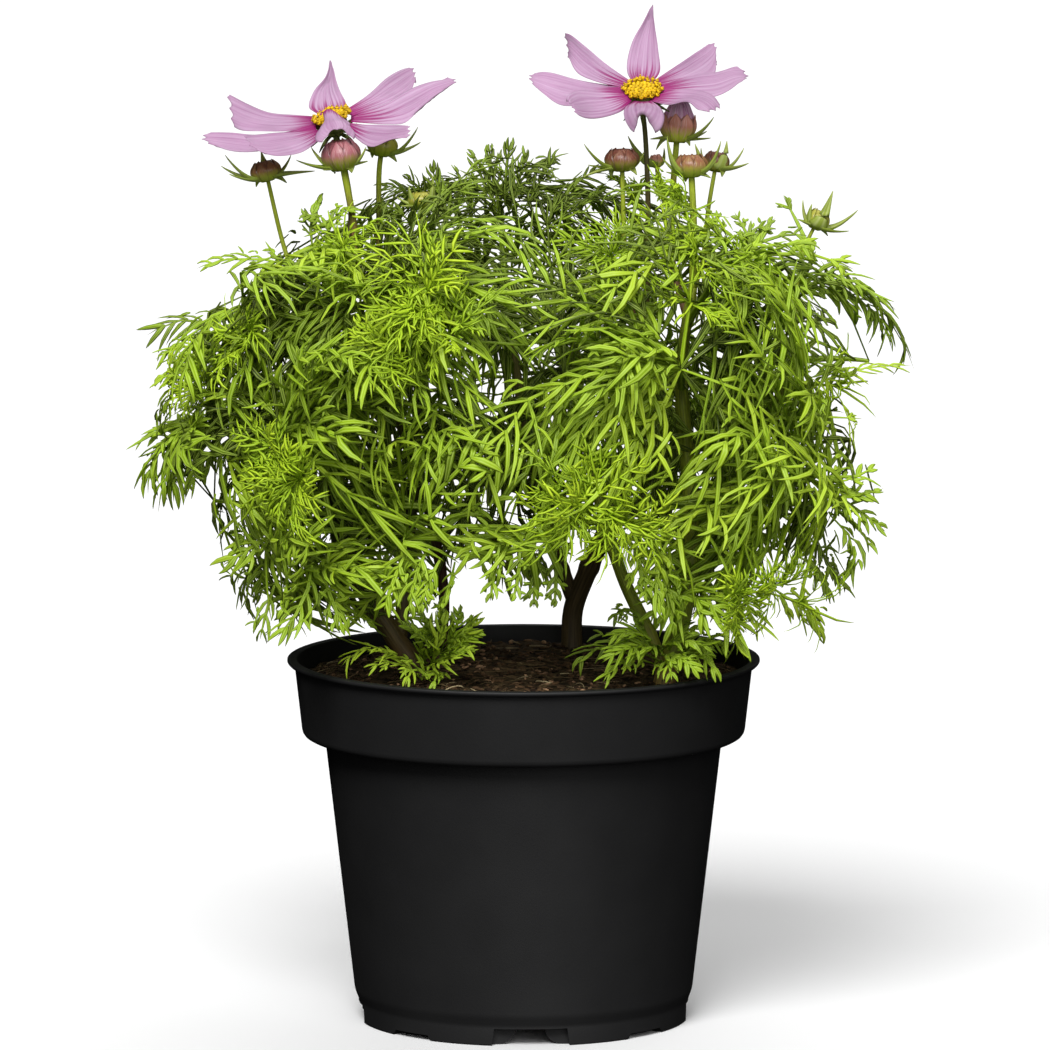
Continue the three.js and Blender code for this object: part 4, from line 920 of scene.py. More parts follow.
class Nodes:
    """A material's node tree, with its shader at hand."""

    def __init__(self, name, roughness, specular):
        self.material = bpy.data.materials.new(name)
        self.material.use_nodes = True
        self.tree = self.material.node_tree
        self.shader = self.tree.nodes["Principled BSDF"]
        self.feed(roughness, self.shader.inputs["Roughness"])
        self.feed(specular, self.shader.inputs["Specular IOR Level"])

    def add(self, kind, **values):
        node = self.tree.nodes.new(kind)
        for key, value in values.items():
            setattr(node, key, value)
        return node

    def feed(self, source, target):
        """Gives an input a number, a colour or another node's output."""
        if isinstance(source, tuple):
            target.default_value = (*source, 1)
        elif isinstance(source, (int, float)):
            target.default_value = source
        else:
            self.tree.links.new(source, target)

    def surface(self):
        """Across, along and tone, as three sockets."""
        read = self.add("ShaderNodeAttribute", attribute_name="surface")
        split = self.add("ShaderNodeSeparateColor")
        self.feed(read.outputs["Color"], split.inputs["Color"])
        return split.outputs[:3]

    def place(self):
        return self.add("ShaderNodeTexCoord").outputs["Object"]

    def noise(self, scale, detail, vector=None):
        node = self.add("ShaderNodeTexNoise")
        node.inputs["Scale"].default_value = scale
        node.inputs["Detail"].default_value = detail
        self.feed(vector or self.place(), node.inputs["Vector"])
        return node.outputs["Fac"]

    def streaks(self, across, along, tone, stretch, scale, detail):
        """Noise drawn out along a part, and another one for each tone."""
        node = self.add("ShaderNodeCombineXYZ")
        self.feed(across, node.inputs[0])
        self.feed(self.math("MULTIPLY", along, stretch), node.inputs[1])
        self.feed(tone, node.inputs[2])
        return self.noise(scale, detail, node.outputs[0])

    def math(self, operation, first, second=0.0):
        node = self.add("ShaderNodeMath", operation=operation)
        self.feed(first, node.inputs[0])
        self.feed(second, node.inputs[1])
        return node.outputs[0]

    def swing(self, noise, amount):
        """Noise as a value around zero."""
        return self.math("MULTIPLY", self.math("SUBTRACT", noise, 0.5), amount)

    def off_middle(self, across):
        """How far a place is from its part's midline, up to a half."""
        return self.math("ABSOLUTE", self.math("SUBTRACT", across, 0.5))

    def ramp(self, source, *stops):
        """Colours, or grey levels, at positions from 0 to 1."""
        node = self.add("ShaderNodeValToRGB")
        elements = node.color_ramp.elements
        while len(elements) < len(stops):
            elements.new(0.5)
        for element, (position, colour) in zip(elements, stops):
            element.position = position
            element.color = (*colour, 1) if isinstance(colour, tuple) else (colour, colour, colour, 1)
        self.feed(source, node.inputs["Fac"])
        return node.outputs["Color"]

    def mix(self, share, first, second, blend="MIX"):
        node = self.add("ShaderNodeMix", data_type="RGBA", blend_type=blend)
        self.feed(share, node.inputs["Factor"])
        for key, source in (("A", first), ("B", second)):
            self.feed(source, [s for s in node.inputs if s.name == key and s.type == "RGBA"][0])
        return [s for s in node.outputs if s.type == "RGBA"][0]

    def colour(self, source, shade=None):
        """The surface's colour, darkened or lightened by a shade."""
        shaded = source if shade is None else self.mix(1.0, source, shade, "MULTIPLY")
        self.feed(shaded, self.shader.inputs["Base Color"])

    def bump(self, height, strength, distance):
        node = self.add("ShaderNodeBump")
        node.inputs["Strength"].default_value = strength
        node.inputs["Distance"].default_value = distance * MM
        self.feed(height, node.inputs["Height"])
        self.feed(node.outputs["Normal"], self.shader.inputs["Normal"])


def plastic_material():
    nodes = Nodes("black_plastic", roughness=0.6, specular=0.48)
    dark, light = PLASTIC_BLACKS
    nodes.colour(nodes.ramp(nodes.noise(scale=60, detail=5), (0.3, dark), (0.7, light)))
    worn = nodes.ramp(nodes.noise(scale=25, detail=6), (0.3, 0.56), (0.75, 0.64))
    nodes.feed(worn, nodes.shader.inputs["Roughness"])
    nodes.bump(nodes.noise(scale=1400, detail=2), strength=0.2, distance=0.15)
    return nodes.material


def soil_material():
    nodes = Nodes("potting_soil", roughness=0.92, specular=0.15)
    dark, light = SOIL_BROWNS
    fine = nodes.ramp(nodes.noise(scale=320, detail=6), (0.35, dark), (0.68, light))
    patches = nodes.ramp(nodes.noise(scale=70, detail=5), (0.4, 0.0), (0.65, 0.6))
    nodes.colour(nodes.mix(patches, fine, dark))
    nodes.bump(nodes.noise(scale=900, detail=6), strength=0.8, distance=0.6)
    return nodes.material


def litter_material(name, dark, middle, pale):
    """Bits on the soil: most are brown and a few are pale, by their tone."""
    nodes = Nodes(name, roughness=0.85, specular=0.2)
    _, _, tone = nodes.surface()
    tint = nodes.ramp(tone, (0.0, dark), (0.7, middle), (0.86, middle), (0.97, pale))
    nodes.colour(tint, nodes.ramp(nodes.noise(scale=500, detail=5), (0.3, 0.6), (0.7, 1.25)))
    nodes.bump(nodes.noise(scale=900, detail=6), strength=0.7, distance=0.4)
    return nodes.material


def stem_material(name, low, high, low_height, high_height):
    """Bark that turns into the young stem's colour between two heights."""
    nodes = Nodes(name, roughness=0.5, specular=0.35)
    across, along, _ = nodes.surface()
    split = nodes.add("ShaderNodeSeparateXYZ")
    nodes.feed(nodes.place(), split.inputs[0])
    rise = nodes.add("ShaderNodeMapRange")
    rise.inputs["From Min"].default_value = low_height * MM
    rise.inputs["From Max"].default_value = high_height * MM
    wander = nodes.swing(nodes.noise(scale=90, detail=4), 0.04)
    nodes.feed(nodes.math("ADD", split.outputs["Z"], wander), rise.inputs["Value"])
    streaks = nodes.streaks(across, along, 0.0, stretch=0.6, scale=16, detail=5)
    nodes.colour(nodes.mix(rise.outputs[0], low, high), nodes.ramp(streaks, (0.3, 0.45), (0.7, 1.35)))
    nodes.bump(streaks, strength=0.5, distance=0.5)
    return nodes.material


def blade_material(name, dark, middle, light, rib):
    """A leaf: its tone picks its green, its ridges are paler, partly as painted highlight, and its edges
    are darker as painted shade.
    """
    nodes = Nodes(name, roughness=0.44, specular=0.2)
    across, _, tone = nodes.surface()
    patches = nodes.swing(nodes.noise(scale=120, detail=4), 0.5)
    green = nodes.ramp(nodes.math("ADD", tone, patches), (0.05, dark), (0.5, middle), (0.95, light))
    off = nodes.off_middle(across)
    # The pale ridges are partly painted highlight; the darkening towards the edges below is painted shade.
    pale_ridge_and_highlight = nodes.ramp(off, (0.0, 0.1), (0.07, 0.0), (0.2, 0.66), (0.32, 0.18), (0.5, 0.0))
    nodes.colour(nodes.mix(pale_ridge_and_highlight, green, rib), nodes.ramp(off, (0.38, 1.0), (0.5, 0.72)))
    nodes.bump(nodes.noise(scale=900, detail=4), strength=0.2, distance=0.2)
    return nodes.material


def petal_material(name, shades, base):
    """Pink with fine darker veins along it, and magenta streaks where it joins the disc."""
    nodes = Nodes(name, roughness=0.55, specular=0.25)
    across, along, tone = nodes.surface()
    veins = nodes.streaks(across, along, tone, stretch=0.05, scale=18, detail=5)
    pink = nodes.ramp(veins, *zip((0.3, 0.5, 0.72), shades))
    streak = nodes.math("ADD", along, nodes.swing(veins, 0.9))
    pink = nodes.mix(nodes.ramp(streak, (0.08, 1.0), (0.16, 0.75), (0.32, 0.0)), pink, base)
    nodes.colour(pink, nodes.ramp(nodes.noise(scale=60, detail=3), (0.3, 0.87), (0.7, 1.07)))
    nodes.bump(veins, strength=0.25, distance=0.5)
    nodes.shader.inputs["Subsurface Weight"].default_value = 0.12
    nodes.shader.inputs["Subsurface Radius"].default_value = (1.0, 0.5, 0.8)
    nodes.shader.inputs["Subsurface Scale"].default_value = 1.2 * MM
    return nodes.material


def floret_material(name, low, high):
    nodes = Nodes(name, roughness=0.6, specular=0.3)
    _, along, tone = nodes.surface()
    grown = nodes.ramp(along, (0.2, low), (0.9, high))
    nodes.colour(grown, nodes.ramp(tone, (0.0, 0.7), (1.0, 1.2)))
    nodes.bump(nodes.noise(scale=2500, detail=3), strength=0.4, distance=0.15)
    return nodes.material


def bud_material(name, low, high, streak):
    """A bud's scales: green at the foot and flushed above, with streaks that are partly painted highlight,
    and an edge darkened as painted shade between the scales.
    """
    nodes = Nodes(name, roughness=0.34, specular=0.5)
    across, along, tone = nodes.surface()
    lines = nodes.streaks(across, along, tone, stretch=0.15, scale=20, detail=4)
    reach = nodes.math("ADD", along, nodes.swing(lines, 0.4))
    base = nodes.mix(nodes.ramp(reach, (0.2, 0.0), (0.55, 1.0)), low, high)
    # The pale streaks are partly painted highlight, and the edges darkened below are painted shade.
    base = nodes.mix(nodes.ramp(lines, (0.5, 0.0), (0.72, 0.75)), base, streak)
    nodes.colour(base, nodes.ramp(nodes.off_middle(across), (0.3, 1.0), (0.5, 0.45)))
    nodes.bump(lines, strength=0.3, distance=0.3)
    return nodes.material


# Pot

def rounded(corners, steps=5):
    """A closed profile of radius and height whose corners become arcs of the third value."""
    profile = np.array(corners, float)[:, :2]
    result = []
    for i, (corner, (_, _, radius)) in enumerate(zip(profile, corners)):
        if not radius:
            result.append(tuple(corner))
            continue
        start = corner + unit(profile[i - 1] - corner) * radius
        end = corner + unit(profile[(i + 1) % len(profile)] - corner) * radius
        for t in np.linspace(0, 1, steps):
            result.append(tuple((1 - t) ** 2 * start + 2 * t * (1 - t) * corner + t * t * end))
    return result


def turned_mesh(name, profile, sides):
    """A closed solid from a profile of radius and height that starts and ends on the axis."""
    angle = circle(sides)
    ring = np.array(profile[1:-1], float)
    x, y = ring[:, None, 0] * np.cos(angle), ring[:, None, 0] * np.sin(angle)
    places = np.stack([x, y, np.repeat(ring[:, 1:], sides, axis=1)], axis=-1).reshape(-1, 3)
    places = np.vstack([places, (0, 0, profile[0][1]), (0, 0, profile[-1][1])])
    faces = grid_faces(len(ring), sides, True).tolist()
    low, high = len(places) - 2, len(places) - 1
    last = (len(ring) - 1) * sides
    for i in range(sides):
        after = (i + 1) % sides
        faces.append((low, after, i))
        faces.append((high, last + i, last + after))
    mesh = bpy.data.meshes.new(name)
    mesh.from_pydata((places * MM).tolist(), [], faces)
    return mesh


def prism(low, high):
    """Vertices and faces of the solid between two rings of as many points."""
    count = len(low)
    sides = [(i, (i + 1) % count, count + (i + 1) % count, count + i) for i in range(count)]
    return np.vstack([low, high]), [tuple(range(count))[::-1], tuple(range(count, 2 * count)), *sides]


def extruded(section, start, end, angle):
    """A section of x and height, laid along the floor at an angle."""
    turn = np.array([(math.cos(angle), math.sin(angle)), (-math.sin(angle), math.cos(angle))])
    heights = [z for _, z in section]
    rings = (np.array([(reach, x) for x, _ in section]) @ turn for reach in (start, end))
    return prism(*(np.column_stack([ring, heights]) for ring in rings))


def drain_hole(angle):
    """The tool for one of the round holes through the pot's floor."""
    around = circle(DRAIN["sides"])
    x = DRAIN["distance"] * math.cos(angle) + DRAIN["radius"] * np.cos(around)
    y = DRAIN["distance"] * math.sin(angle) + DRAIN["radius"] * np.sin(around)
    return prism(*(np.column_stack([x, y, np.full(len(x), z)]) for z in DRAIN["cut"]))


def cutter(name, parts):
    mesh = bpy.data.meshes.new(name)
    places, faces = [], []
    for part_places, part_faces in parts:
        faces += [tuple(i + len(places) for i in face) for face in part_faces]
        places += (part_places * MM).tolist()
    mesh.from_pydata(places, [], faces)
    return bpy.data.objects.new(name, mesh)


def channel_section():
    height, half_ceiling, half_floor, steps = CHANNEL.values()
    run = half_floor - half_ceiling
    flank = [
        (half_floor - run * math.sin(a), height - height * math.cos(a))
        for a in np.linspace(0, math.pi / 2, steps)
    ]
    half = [(half_floor, -CUT_PAST["below"]), *flank]
    return half + [(-x, z) for x, z in reversed(half)]


def slot_section(slot):
    low, high = slot["half_width"] + slot["slant"], slot["half_width"] - slot["slant"]
    half = [(low, -CUT_PAST["below"]), (high, slot["height"])]
    return half + [(-x, z) for x, z in reversed(half)]


def foot_cutters():
    """The channels under the floor, the windows and notches of the foot ring, and the holes."""
    reach = POT["foot_radius"] + CUT_PAST["side"]
    quarter = math.pi / 2
    slots, holes = [], []
    for i in range(4):
        angle = POT["turn"] + i * quarter
        slots.append(extruded(slot_section(WINDOW), WINDOW["inner_radius"], reach, angle))
        slots.append(extruded(slot_section(NOTCH), NOTCH["inner_radius"], reach, angle + quarter / 2))
        holes.append(drain_hole(angle))
    channels = [
        cutter(f"channel_{i}", [extruded(channel_section(), -reach, reach, POT["turn"] + i * quarter)])
        for i in range(2)
    ]
    return [*channels, cutter("slots", slots), cutter("holes", holes)]


def pot_profile():
    """The pot's profile, as radius, height and rounding, up its outside and down its inside."""
    under_lip = POT["height"] - POT["lip_height"] + POT_LOOK["lip_thinning"]
    wall, rim, bevel = POT["wall"], POT["rim_radius"], POT_LOOK["lip_bevel"]
    inner_band, inner_floor = POT["band_bottom"] + wall, POT["floor"] + wall
    return rounded([
        (0, 0, 0),
        (POT["foot_radius"], 0, 0.6),
        (POT["foot_radius"], POT["foot_height"], 0.8),
        (POT["body_bottom_radius"], POT["body_bottom"], 1.2),
        (POT["body_top_radius"], POT["band_bottom"], 0.8),
        (POT["band_bottom_radius"], POT["band_bottom"], 2.6),
        (POT["band_top_radius"], under_lip, 0.5),
        (rim - bevel, under_lip, 0.3),
        (rim, under_lip + bevel, 0.3),
        (rim, POT["height"], 0.5),
        (rim - POT["lip_overhang"] - wall, POT["height"], 0.6),
        (POT["band_top_radius"] - wall, under_lip - POT_LOOK["inside_drop"], 0),
        (POT["band_bottom_radius"] - wall, inner_band, 2),
        (POT["body_top_radius"] - wall, inner_band, 0.8),
        (POT["body_bottom_radius"] - wall, inner_floor, 1.5),
        (0, inner_floor, 0),
    ])


def make_pot():
    mesh = turned_mesh("pot_solid", pot_profile(), POT_LOOK["sides"])
    body = bpy.data.objects.new("pot_body", mesh)
    tools = foot_cutters()
    for thing in (body, *tools):
        bpy.context.scene.collection.objects.link(thing)
    for tool in tools:
        cut = body.modifiers.new(tool.name, "BOOLEAN")
        cut.operation = "DIFFERENCE"
        cut.solver = "EXACT"
        cut.object = tool
    bpy.context.view_layer.update()
    cut_mesh = bpy.data.meshes.new_from_object(body.evaluated_get(bpy.context.evaluated_depsgraph_get()))
    for thing in (body, *tools):
        bpy.data.objects.remove(thing)
    cut_mesh.polygons.foreach_set("use_smooth", [True] * len(cut_mesh.polygons))
    cut_mesh.materials.clear()
    cut_mesh.set_sharp_from_angle(angle=POT_LOOK["sharp_from"])
    finish_piece("nursery_pot", cut_mesh, plastic_material(), ["pot"])


# Soil

def soil_radius():
    """The soil's radius at its edge, a small gap inside the pot's outline there."""
    share = (SOIL["edge"] - POT["band_bottom"]) / (POT["height"] - POT["band_bottom"])
    outer = POT["band_bottom_radius"] + (POT["band_top_radius"] - POT["band_bottom_radius"]) * share
    return outer - SOIL["wall_gap"]


def soil_height(x, y):
    """The soil's top at a place, with its crumbs."""
    past_middle = math.hypot(x, y) - SOIL["middle_radius"]
    slope = min(1, max(0, past_middle / (soil_radius() - SOIL["middle_radius"])))
    height = SOIL["middle"] + (SOIL["edge"] - SOIL["middle"]) * slope ** SOIL_LOOK["fall"]
    for size, lift in SOIL_LOOK["crumbs"]:
        height += lift * noise.noise((x / size, y / size, size))
    return height


def on_soil(places, lift=0.0):
    """The heights of the soil at places."""
    return np.array([soil_height(x, y) for x, y in places]) + lift


def make_soil():
    rings, sides = SOIL_LOOK["rings"], SOIL_LOOK["sides"]
    radii = soil_radius() * np.linspace(0, 1, rings + 1)[1:] ** SOIL_LOOK["ring_spread"]
    angle = circle(sides)
    flat = [(r * math.cos(a), r * math.sin(a)) for r in radii for a in angle]
    top = np.column_stack([flat, on_soil(flat)])
    gap = SOIL_LOOK["wall_clearance"]
    base_height = POT["floor"] + POT["wall"] + SOIL_LOOK["floor_clearance"]
    lower = [
        (POT["body_top_radius"] - POT["wall"] - gap, POT["band_bottom"] - gap),
        (POT["body_bottom_radius"] - POT["wall"] - gap, base_height),
    ]
    skirt = np.array([(r * math.cos(a), r * math.sin(a), z) for r, z in lower for a in angle])
    places = np.vstack([top, skirt, (0, 0, soil_height(0, 0)), (0, 0, base_height)])
    shape = Shape()
    turn = np.arange(sides)
    after = (turn + 1) % sides
    crown = np.stack([np.full(sides, len(places) - 2), turn, after], axis=-1)
    last = (rings + 1) * sides
    base = np.stack([np.full(sides, len(places) - 1), last + after, last + turn], axis=-1)
    quads = grid_faces(rings + 2, sides, True)[:, ::-1]
    shape.add(places, np.full((len(places), 3), 0.5), quads, crown, base)
    make_piece("soil_surface", shape, soil_material(), ["soil"])


def between(limits, count):
    """Random numbers between two limits."""
    return limits[0] + (limits[1] - limits[0]) * rng.random(count)


def scatter(count, length, half_width, bend, lift):
    """Random small blades lying on the soil, as arrays for add_blades."""
    radius = (soil_radius() - LITTER_SCATTER["start_margin"]) * np.sqrt(rng.random(count))
    angle = rng.random(count) * 2 * math.pi
    flat = np.stack([radius * np.cos(angle), radius * np.sin(angle)], axis=-1)
    start = np.column_stack([flat, on_soil(flat, lift)])
    heading = rng.random(count) * 2 * math.pi
    slope = rng.normal(0, LITTER_SCATTER["slope"], count)
    direction = np.stack([np.cos(heading), np.sin(heading), slope], axis=-1)
    long = between(length, count)
    end = start + direction * long[:, None]
    outside = np.hypot(end[:, 0], end[:, 1]) > soil_radius() - LITTER_SCATTER["end_margin"]
    end[outside] = start[outside] - direction[outside] * long[outside, None]
    bow = rng.normal(0, 1, (count, 3)) * (bend * long)[:, None] * (1, 1, LITTER_SCATTER["rise"])
    middle = (start + end) / 2 + bow
    end[:, 2] = on_soil(end[:, :2], lift)
    middle[:, 2] = np.maximum(middle[:, 2], (start[:, 2] + end[:, 2]) / 2)
    up = unit(rng.normal(0, LITTER_SCATTER["tilt"], (count, 3)) + (0, 0, 1))
    return start, middle, end, up, between(half_width, count)


def make_soil_litter():
    for name, bits in LITTER.items():
        shape = Shape()
        sizes = (bits[key] for key in ("count", "length", "half_width", "bend", "lift"))
        *blades, wide = scatter(*sizes)
        thick, tone = wide * bits["flatness"], rng.random(bits["count"])
        add_blades(shape, *blades, wide, thick, tone, bits["outline"], bits["section"])
        make_piece(name, shape, litter_material(f"{name}_brown", *bits["browns"]))


# Stems

def stem_path(stem, branch, count=160):
    """The path that stalks and twigs leave a stem's branch from."""
    return spline(STEMS[stem][branch][1], count)


def place_on(stem, branch, share):
    """The place at a share of a stem branch's length."""
    path = stem_path(stem, branch)
    return path[round(share * (len(path) - 1))]


def node_rings(length):
    """Swellings where leaves leave a stem, with fine ribs between them."""
    rings = np.arange(STEM_NODES["first"], 1, STEM_NODES["spacing"] / length)
    phase = rng.random() * 6
    (high, many), (low, few) = STEM_NODES["ribs"]

    def wave(angle, share):
        offsets = ((share - ring) * length / STEM_NODES["length"] for ring in rings)
        swelling = sum(STEM_NODES["swelling"] * np.exp(-(offset**2)) for offset in offsets)
        twist = STEM_NODES["twist"] * share
        ribs = high * np.cos(many * angle + phase) + low * np.cos(few * angle + 2 * phase + twist)
        return 1 + swelling + ribs

    return wave


def make_stems():
    for name, branches in STEMS.items():
        shape = Shape()
        for radii, points in branches.values():
            path = spline(points, STEM_MESH["places"])
            length = np.linalg.norm(np.diff(path, axis=0), axis=1).sum()
            taper = np.linspace(*radii, len(path)) * STEM_MESH["thinning"]
            add_tube(shape, path, taper, STEM_MESH["sides"], wave=node_rings(length))
        make_piece(f"{name}_bark", shape, stem_material(f"{name}_skin", *STEM_LOOKS[name]), [name])


def add_stalk(shape, points, radius):
    """A thin stalk, thicker at its foot and faintly ribbed."""
    def ribs(angle, _):
        return 1 + STALK["ribs"] * np.cos(STALK["rib_count"] * angle)

    path = spline(points, STALK["places"])
    taper = np.linspace(radius * STALK["foot"], radius, len(path))
    add_tube(shape, path, taper, STALK["sides"], wave=ribs)


# Flowers

def flower_turn(tilt):
    """The rotation of a flower that leans forward and to the left by two angles in degrees."""
    forward, left = (math.radians(a) for a in tilt)
    return np.array(Euler((forward, -left, 0), "ZYX").to_matrix())


def petal_grid(edges):
    """A petal between its picked edges, with pleats along it, a wavy rim and a toothed end."""
    left, middle, right = (
        spline([photo_place(*place) for place in line], PETAL["rows"]) for line in edges
    )
    pleats, pleat_count, wave, wave_count, teeth, tooth_count = PETAL_RUFFLE.values()
    across = np.linspace(-1, 1, PETAL["columns"])[None, :, None]
    share = np.linspace(0, 1, PETAL["rows"])[:, None, None]
    halfway = (left + right)[:, None] / 2
    half = (right - left)[:, None] / 2
    grid = middle[:, None] + half * across + (halfway - middle[:, None]) * across**2
    along = unit(np.gradient(grid, axis=0))
    normal = unit(np.cross(np.gradient(grid, axis=1), along))
    phase = rng.random(3) * 2 * math.pi
    pleated = np.cos(pleat_count * math.pi * across + phase[0])
    height = pleats * pleated * np.sin(math.pi * share) ** 0.5
    waved = np.sin(wave_count * share + phase[1] + 2 * across) * across**2
    height = height + wave * waved * share**1.5
    length = np.linalg.norm(middle[-1] - middle[0])
    toothed = np.abs(np.sin(tooth_count * math.pi * across + 0.3 * math.sin(phase[2])))
    return grid + normal * height - along * (teeth * length * toothed * share**8)


def floret_wave(depth, count=5):
    """A floret's lobes, which deepen towards its mouth."""
    return lambda angle, share: 1 + depth * np.cos(count * angle) * share**3


def make_disc(name, centre, turn):
    """Florets on a low base, each a golden angle from the last, with anthers on the outer ones."""
    florets, anthers = Shape(), Shape()
    radius, lift, dome, count = DISC.values()
    golden = math.pi * (3 - math.sqrt(5))
    base = spline([(0, 0, z) for z in (*DISC_BASE["heights"], lift)], len(DISC_BASE["radii"]))
    add_tube(florets, base @ turn.T + centre, DISC_BASE["radii"], DISC_BASE["sides"], DISC_BASE["tone"])
    for i in range(count):
        out = math.sqrt((i + 0.5) / count)
        ray = np.array([math.cos(i * golden), math.sin(i * golden), 0])
        sunk = lift - FLORET_SPREAD["sunk"] + dome * (1 - out**2)
        foot = FLORET_SPREAD["reach"] * radius * out * ray + (0, 0, sunk)
        lean = unit(FLORET_SPREAD["lean"] * out**2 * ray + (0, 0, 1))
        ripe = out > RIPE_FROM
        floret = FLORETS["open" if ripe else "closed"]
        tall = rng.uniform(*floret["height"])
        path = (foot + lean * tall * np.linspace(0, 1, 6)[:, None]) @ turn.T + centre
        add_tube(florets, path, floret["radii"], 10, rng.random(), floret_wave(floret["lobes"]))
        if ripe:
            reach = tall * ANTHER["start"] + rng.uniform(*ANTHER["length"]) * np.linspace(0, 1, 5)
            path = (foot + lean * reach[:, None]) @ turn.T + centre
            add_tube(anthers, path, ANTHER["radii"], 6, rng.random())
    yellow = floret_material("floret_yellow", *FLORET_YELLOWS)
    brown = floret_material("anther_brown", *ANTHER_BROWNS)
    make_piece(f"{name}_florets", florets, yellow, [f"{name}_disc"])
    make_piece(f"{name}_anthers", anthers, brown)


def pointed_grid(spine, along, up, half, cup, columns=7):
    """A grid across a spine, whose edges rise by a share of its half width."""
    side = unit(np.cross(up, along))
    normal = np.cross(along, side)
    across = np.linspace(-1, 1, columns)[None, :, None]
    return spine + side * half * across + normal * cup * half * across**2


def calyx_bract(bract, centre, turn, step, curve):
    """A bract under the petals, at a step around the calyx, that bends up by its curve."""
    angle = step * 2 * math.pi / CALYX_BRACTS
    out = turn @ (math.cos(angle), math.sin(angle), 0)
    axis = turn @ (0, 0, 1)
    start = centre + out * bract["out"] + axis * (CALYX_TOP - bract["down"])
    outward = unit(out + axis * bract["lean"])
    share = np.linspace(0, 1, 12)[:, None, None]
    spine = start + outward * BRACT_LENGTH * share + axis * curve * BRACT_LENGTH * share**2
    along = unit(outward + 2 * curve * axis * share)
    half = bract["half_width"] * read_off(BRACT_WIDTHS, share)
    return pointed_grid(spine, along, axis, half, bract["cup"])


def make_calyx(name, flower, centre, turn):
    shape, stalk = Shape(), Shape()
    depth, stalk_radius = CALYX["depth"], CALYX["stalk_radius"]
    steps = np.linspace(0, 1, 9)
    path = np.outer(CALYX_TOP - depth + depth * steps, (0, 0, 1)) @ turn.T + centre
    add_tube(shape, path, read_off(CALYX_PROFILE, steps), 24, 0.4)
    seat = centre + turn @ (0, 0, 1) * (CALYX_TOP - depth + 0.5)
    add_stalk(stalk, [place_on(flower["stem"], "trunk", 1), *flower["stalk"], seat], stalk_radius)
    skin = stem_material(f"{name}_stalk_skin", *FLOWER_STALK_LOOK)
    make_piece(f"{name}_stalk", stalk, skin)
    for i in range(CALYX_BRACTS):
        inner = calyx_bract(INNER_BRACT, centre, turn, i + 0.5, BRACT_CURVES["inner"])
        outer = calyx_bract(OUTER_BRACT, centre, turn, i, rng.uniform(*BRACT_CURVES["outer"]))
        add_sheet(shape, inner, 0.5, INNER_BRACT["tone"])
        add_sheet(shape, outer, 0.5, OUTER_BRACT["tone"])
    green = blade_material("calyx_green", *CALYX_GREENS)
    make_piece(f"{name}_calyx", shape, green, [f"{name}_calyx_and_stalk"])


def make_flowers():
    pink = petal_material("petal_pink", PETAL_PINKS, PETAL_MAGENTA)
    for name, flower in FLOWERS.items():
        centre = np.array(flower["centre"], float)
        for side, edges in flower["petals"].items():
            shape = Shape()
            add_sheet(shape, petal_grid(edges), PETAL["thickness"], rng.random())
            make_piece(f"{name}_{side}_petal_blade", shape, pink, [f"{name}_{side}_petal"])
        make_disc(name, centre, flower_turn(flower["disc_tilt"]))
        make_calyx(name, flower, centre, flower_turn(flower["tilt"]))


# Buds

def head_axes(bud):
    """A head's middle, its axis and two directions across it."""
    middle = np.array(bud["stalk"][-1], float)
    axis = unit(middle - np.array(bud["stalk"][-2], float))
    first = unit(np.cross(axis, OFF_AXES["head"]))
    return middle, axis, first, np.cross(axis, first)


def head_ring(share):
    """The width of a head's dome at a share of its height, against its radius."""
    angle = math.pi * np.clip(share * HEAD_DOME["span"] + HEAD_DOME["start"], 0, 1)
    return np.sin(angle) ** HEAD_DOME["fullness"]


def gore(axes, angle, rings, heights, half_angles, across):
    """A grid that wraps part of the way around an axis, at each ring's radii and height."""
    middle, axis, first, second = axes
    out = first * math.cos(angle) + second * math.sin(angle)
    side = second * math.cos(angle) - first * math.sin(angle)
    turn = half_angles[:, None] * across[None, :]
    grid = middle + (axis * heights[:, None])[:, None]
    return grid + out * (rings * np.cos(turn))[..., None] + side * (rings * np.sin(turn))[..., None]


def add_scales(shape, bud):
    """A head's core with overlapping scales around it."""
    axes = head_axes(bud)
    radius, height = bud["radius"], bud["height"]
    top = SCALES["open_top"] if bud["look"] == "opening" else SCALES["top"]
    steps = np.linspace(0, 1, SCALES["core_rows"]) * (top - SCALES["core_inset"])
    core = axes[0] + np.outer((steps - 0.5) * height, axes[1])
    add_tube(shape, core, radius * SCALES["core"] * head_ring(steps), SCALES["core_sides"])
    share = np.linspace(SCALES["bottom"], top, SCALES["rows"])
    half = read_off(SCALE_HALF_ANGLES, share / top)
    across = np.linspace(-1, 1, SCALES["columns"])
    near_top = (share / top - SCALES["flare_from"]) / SCALES["flare_over"]
    flare = SCALES["flare"] * np.clip(near_top, 0, 1)
    every_other, lengthwise = SCALES["laps"]
    for i in range(SCALES["count"]):
        lap = 1 + every_other * (i % 2) + lengthwise * across
        ring = radius * (head_ring(share) + flare)[:, None] * lap
        angle = i * 2 * math.pi / SCALES["count"] + rng.normal(0, SCALES["scatter"])
        grid = gore(axes, angle, ring, (share - 0.5) * height, half, across)
        add_sheet(shape, grid, SCALES["thickness"], rng.random())


def spreading_bract(bud, tip):
    """A pointed bract from a head's foot through its knee to its tip."""
    middle, axis, *_ = head_axes(bud)
    look = SPREADING_BRACT
    reach = tip - middle
    out = unit(reach - axis * (reach @ axis))
    start = middle - axis * bud["height"] * look["below"] + out * bud["radius"] * look["out"]
    length = np.linalg.norm(tip - start)
    knee = start + (out * look["knee_out"] + axis * look["knee_up"]) * length * look["knee"]
    share = np.linspace(0, 1, 14)
    path = bezier(start, knee, tip, share)
    along = unit(np.gradient(path, axis=0))
    half = (look["half_width"] + look["widening"] * length) * read_off(SPREADING_WIDTHS, share)
    return pointed_grid(path[:, None], along[:, None], axis, half[:, None, None], look["cup"])


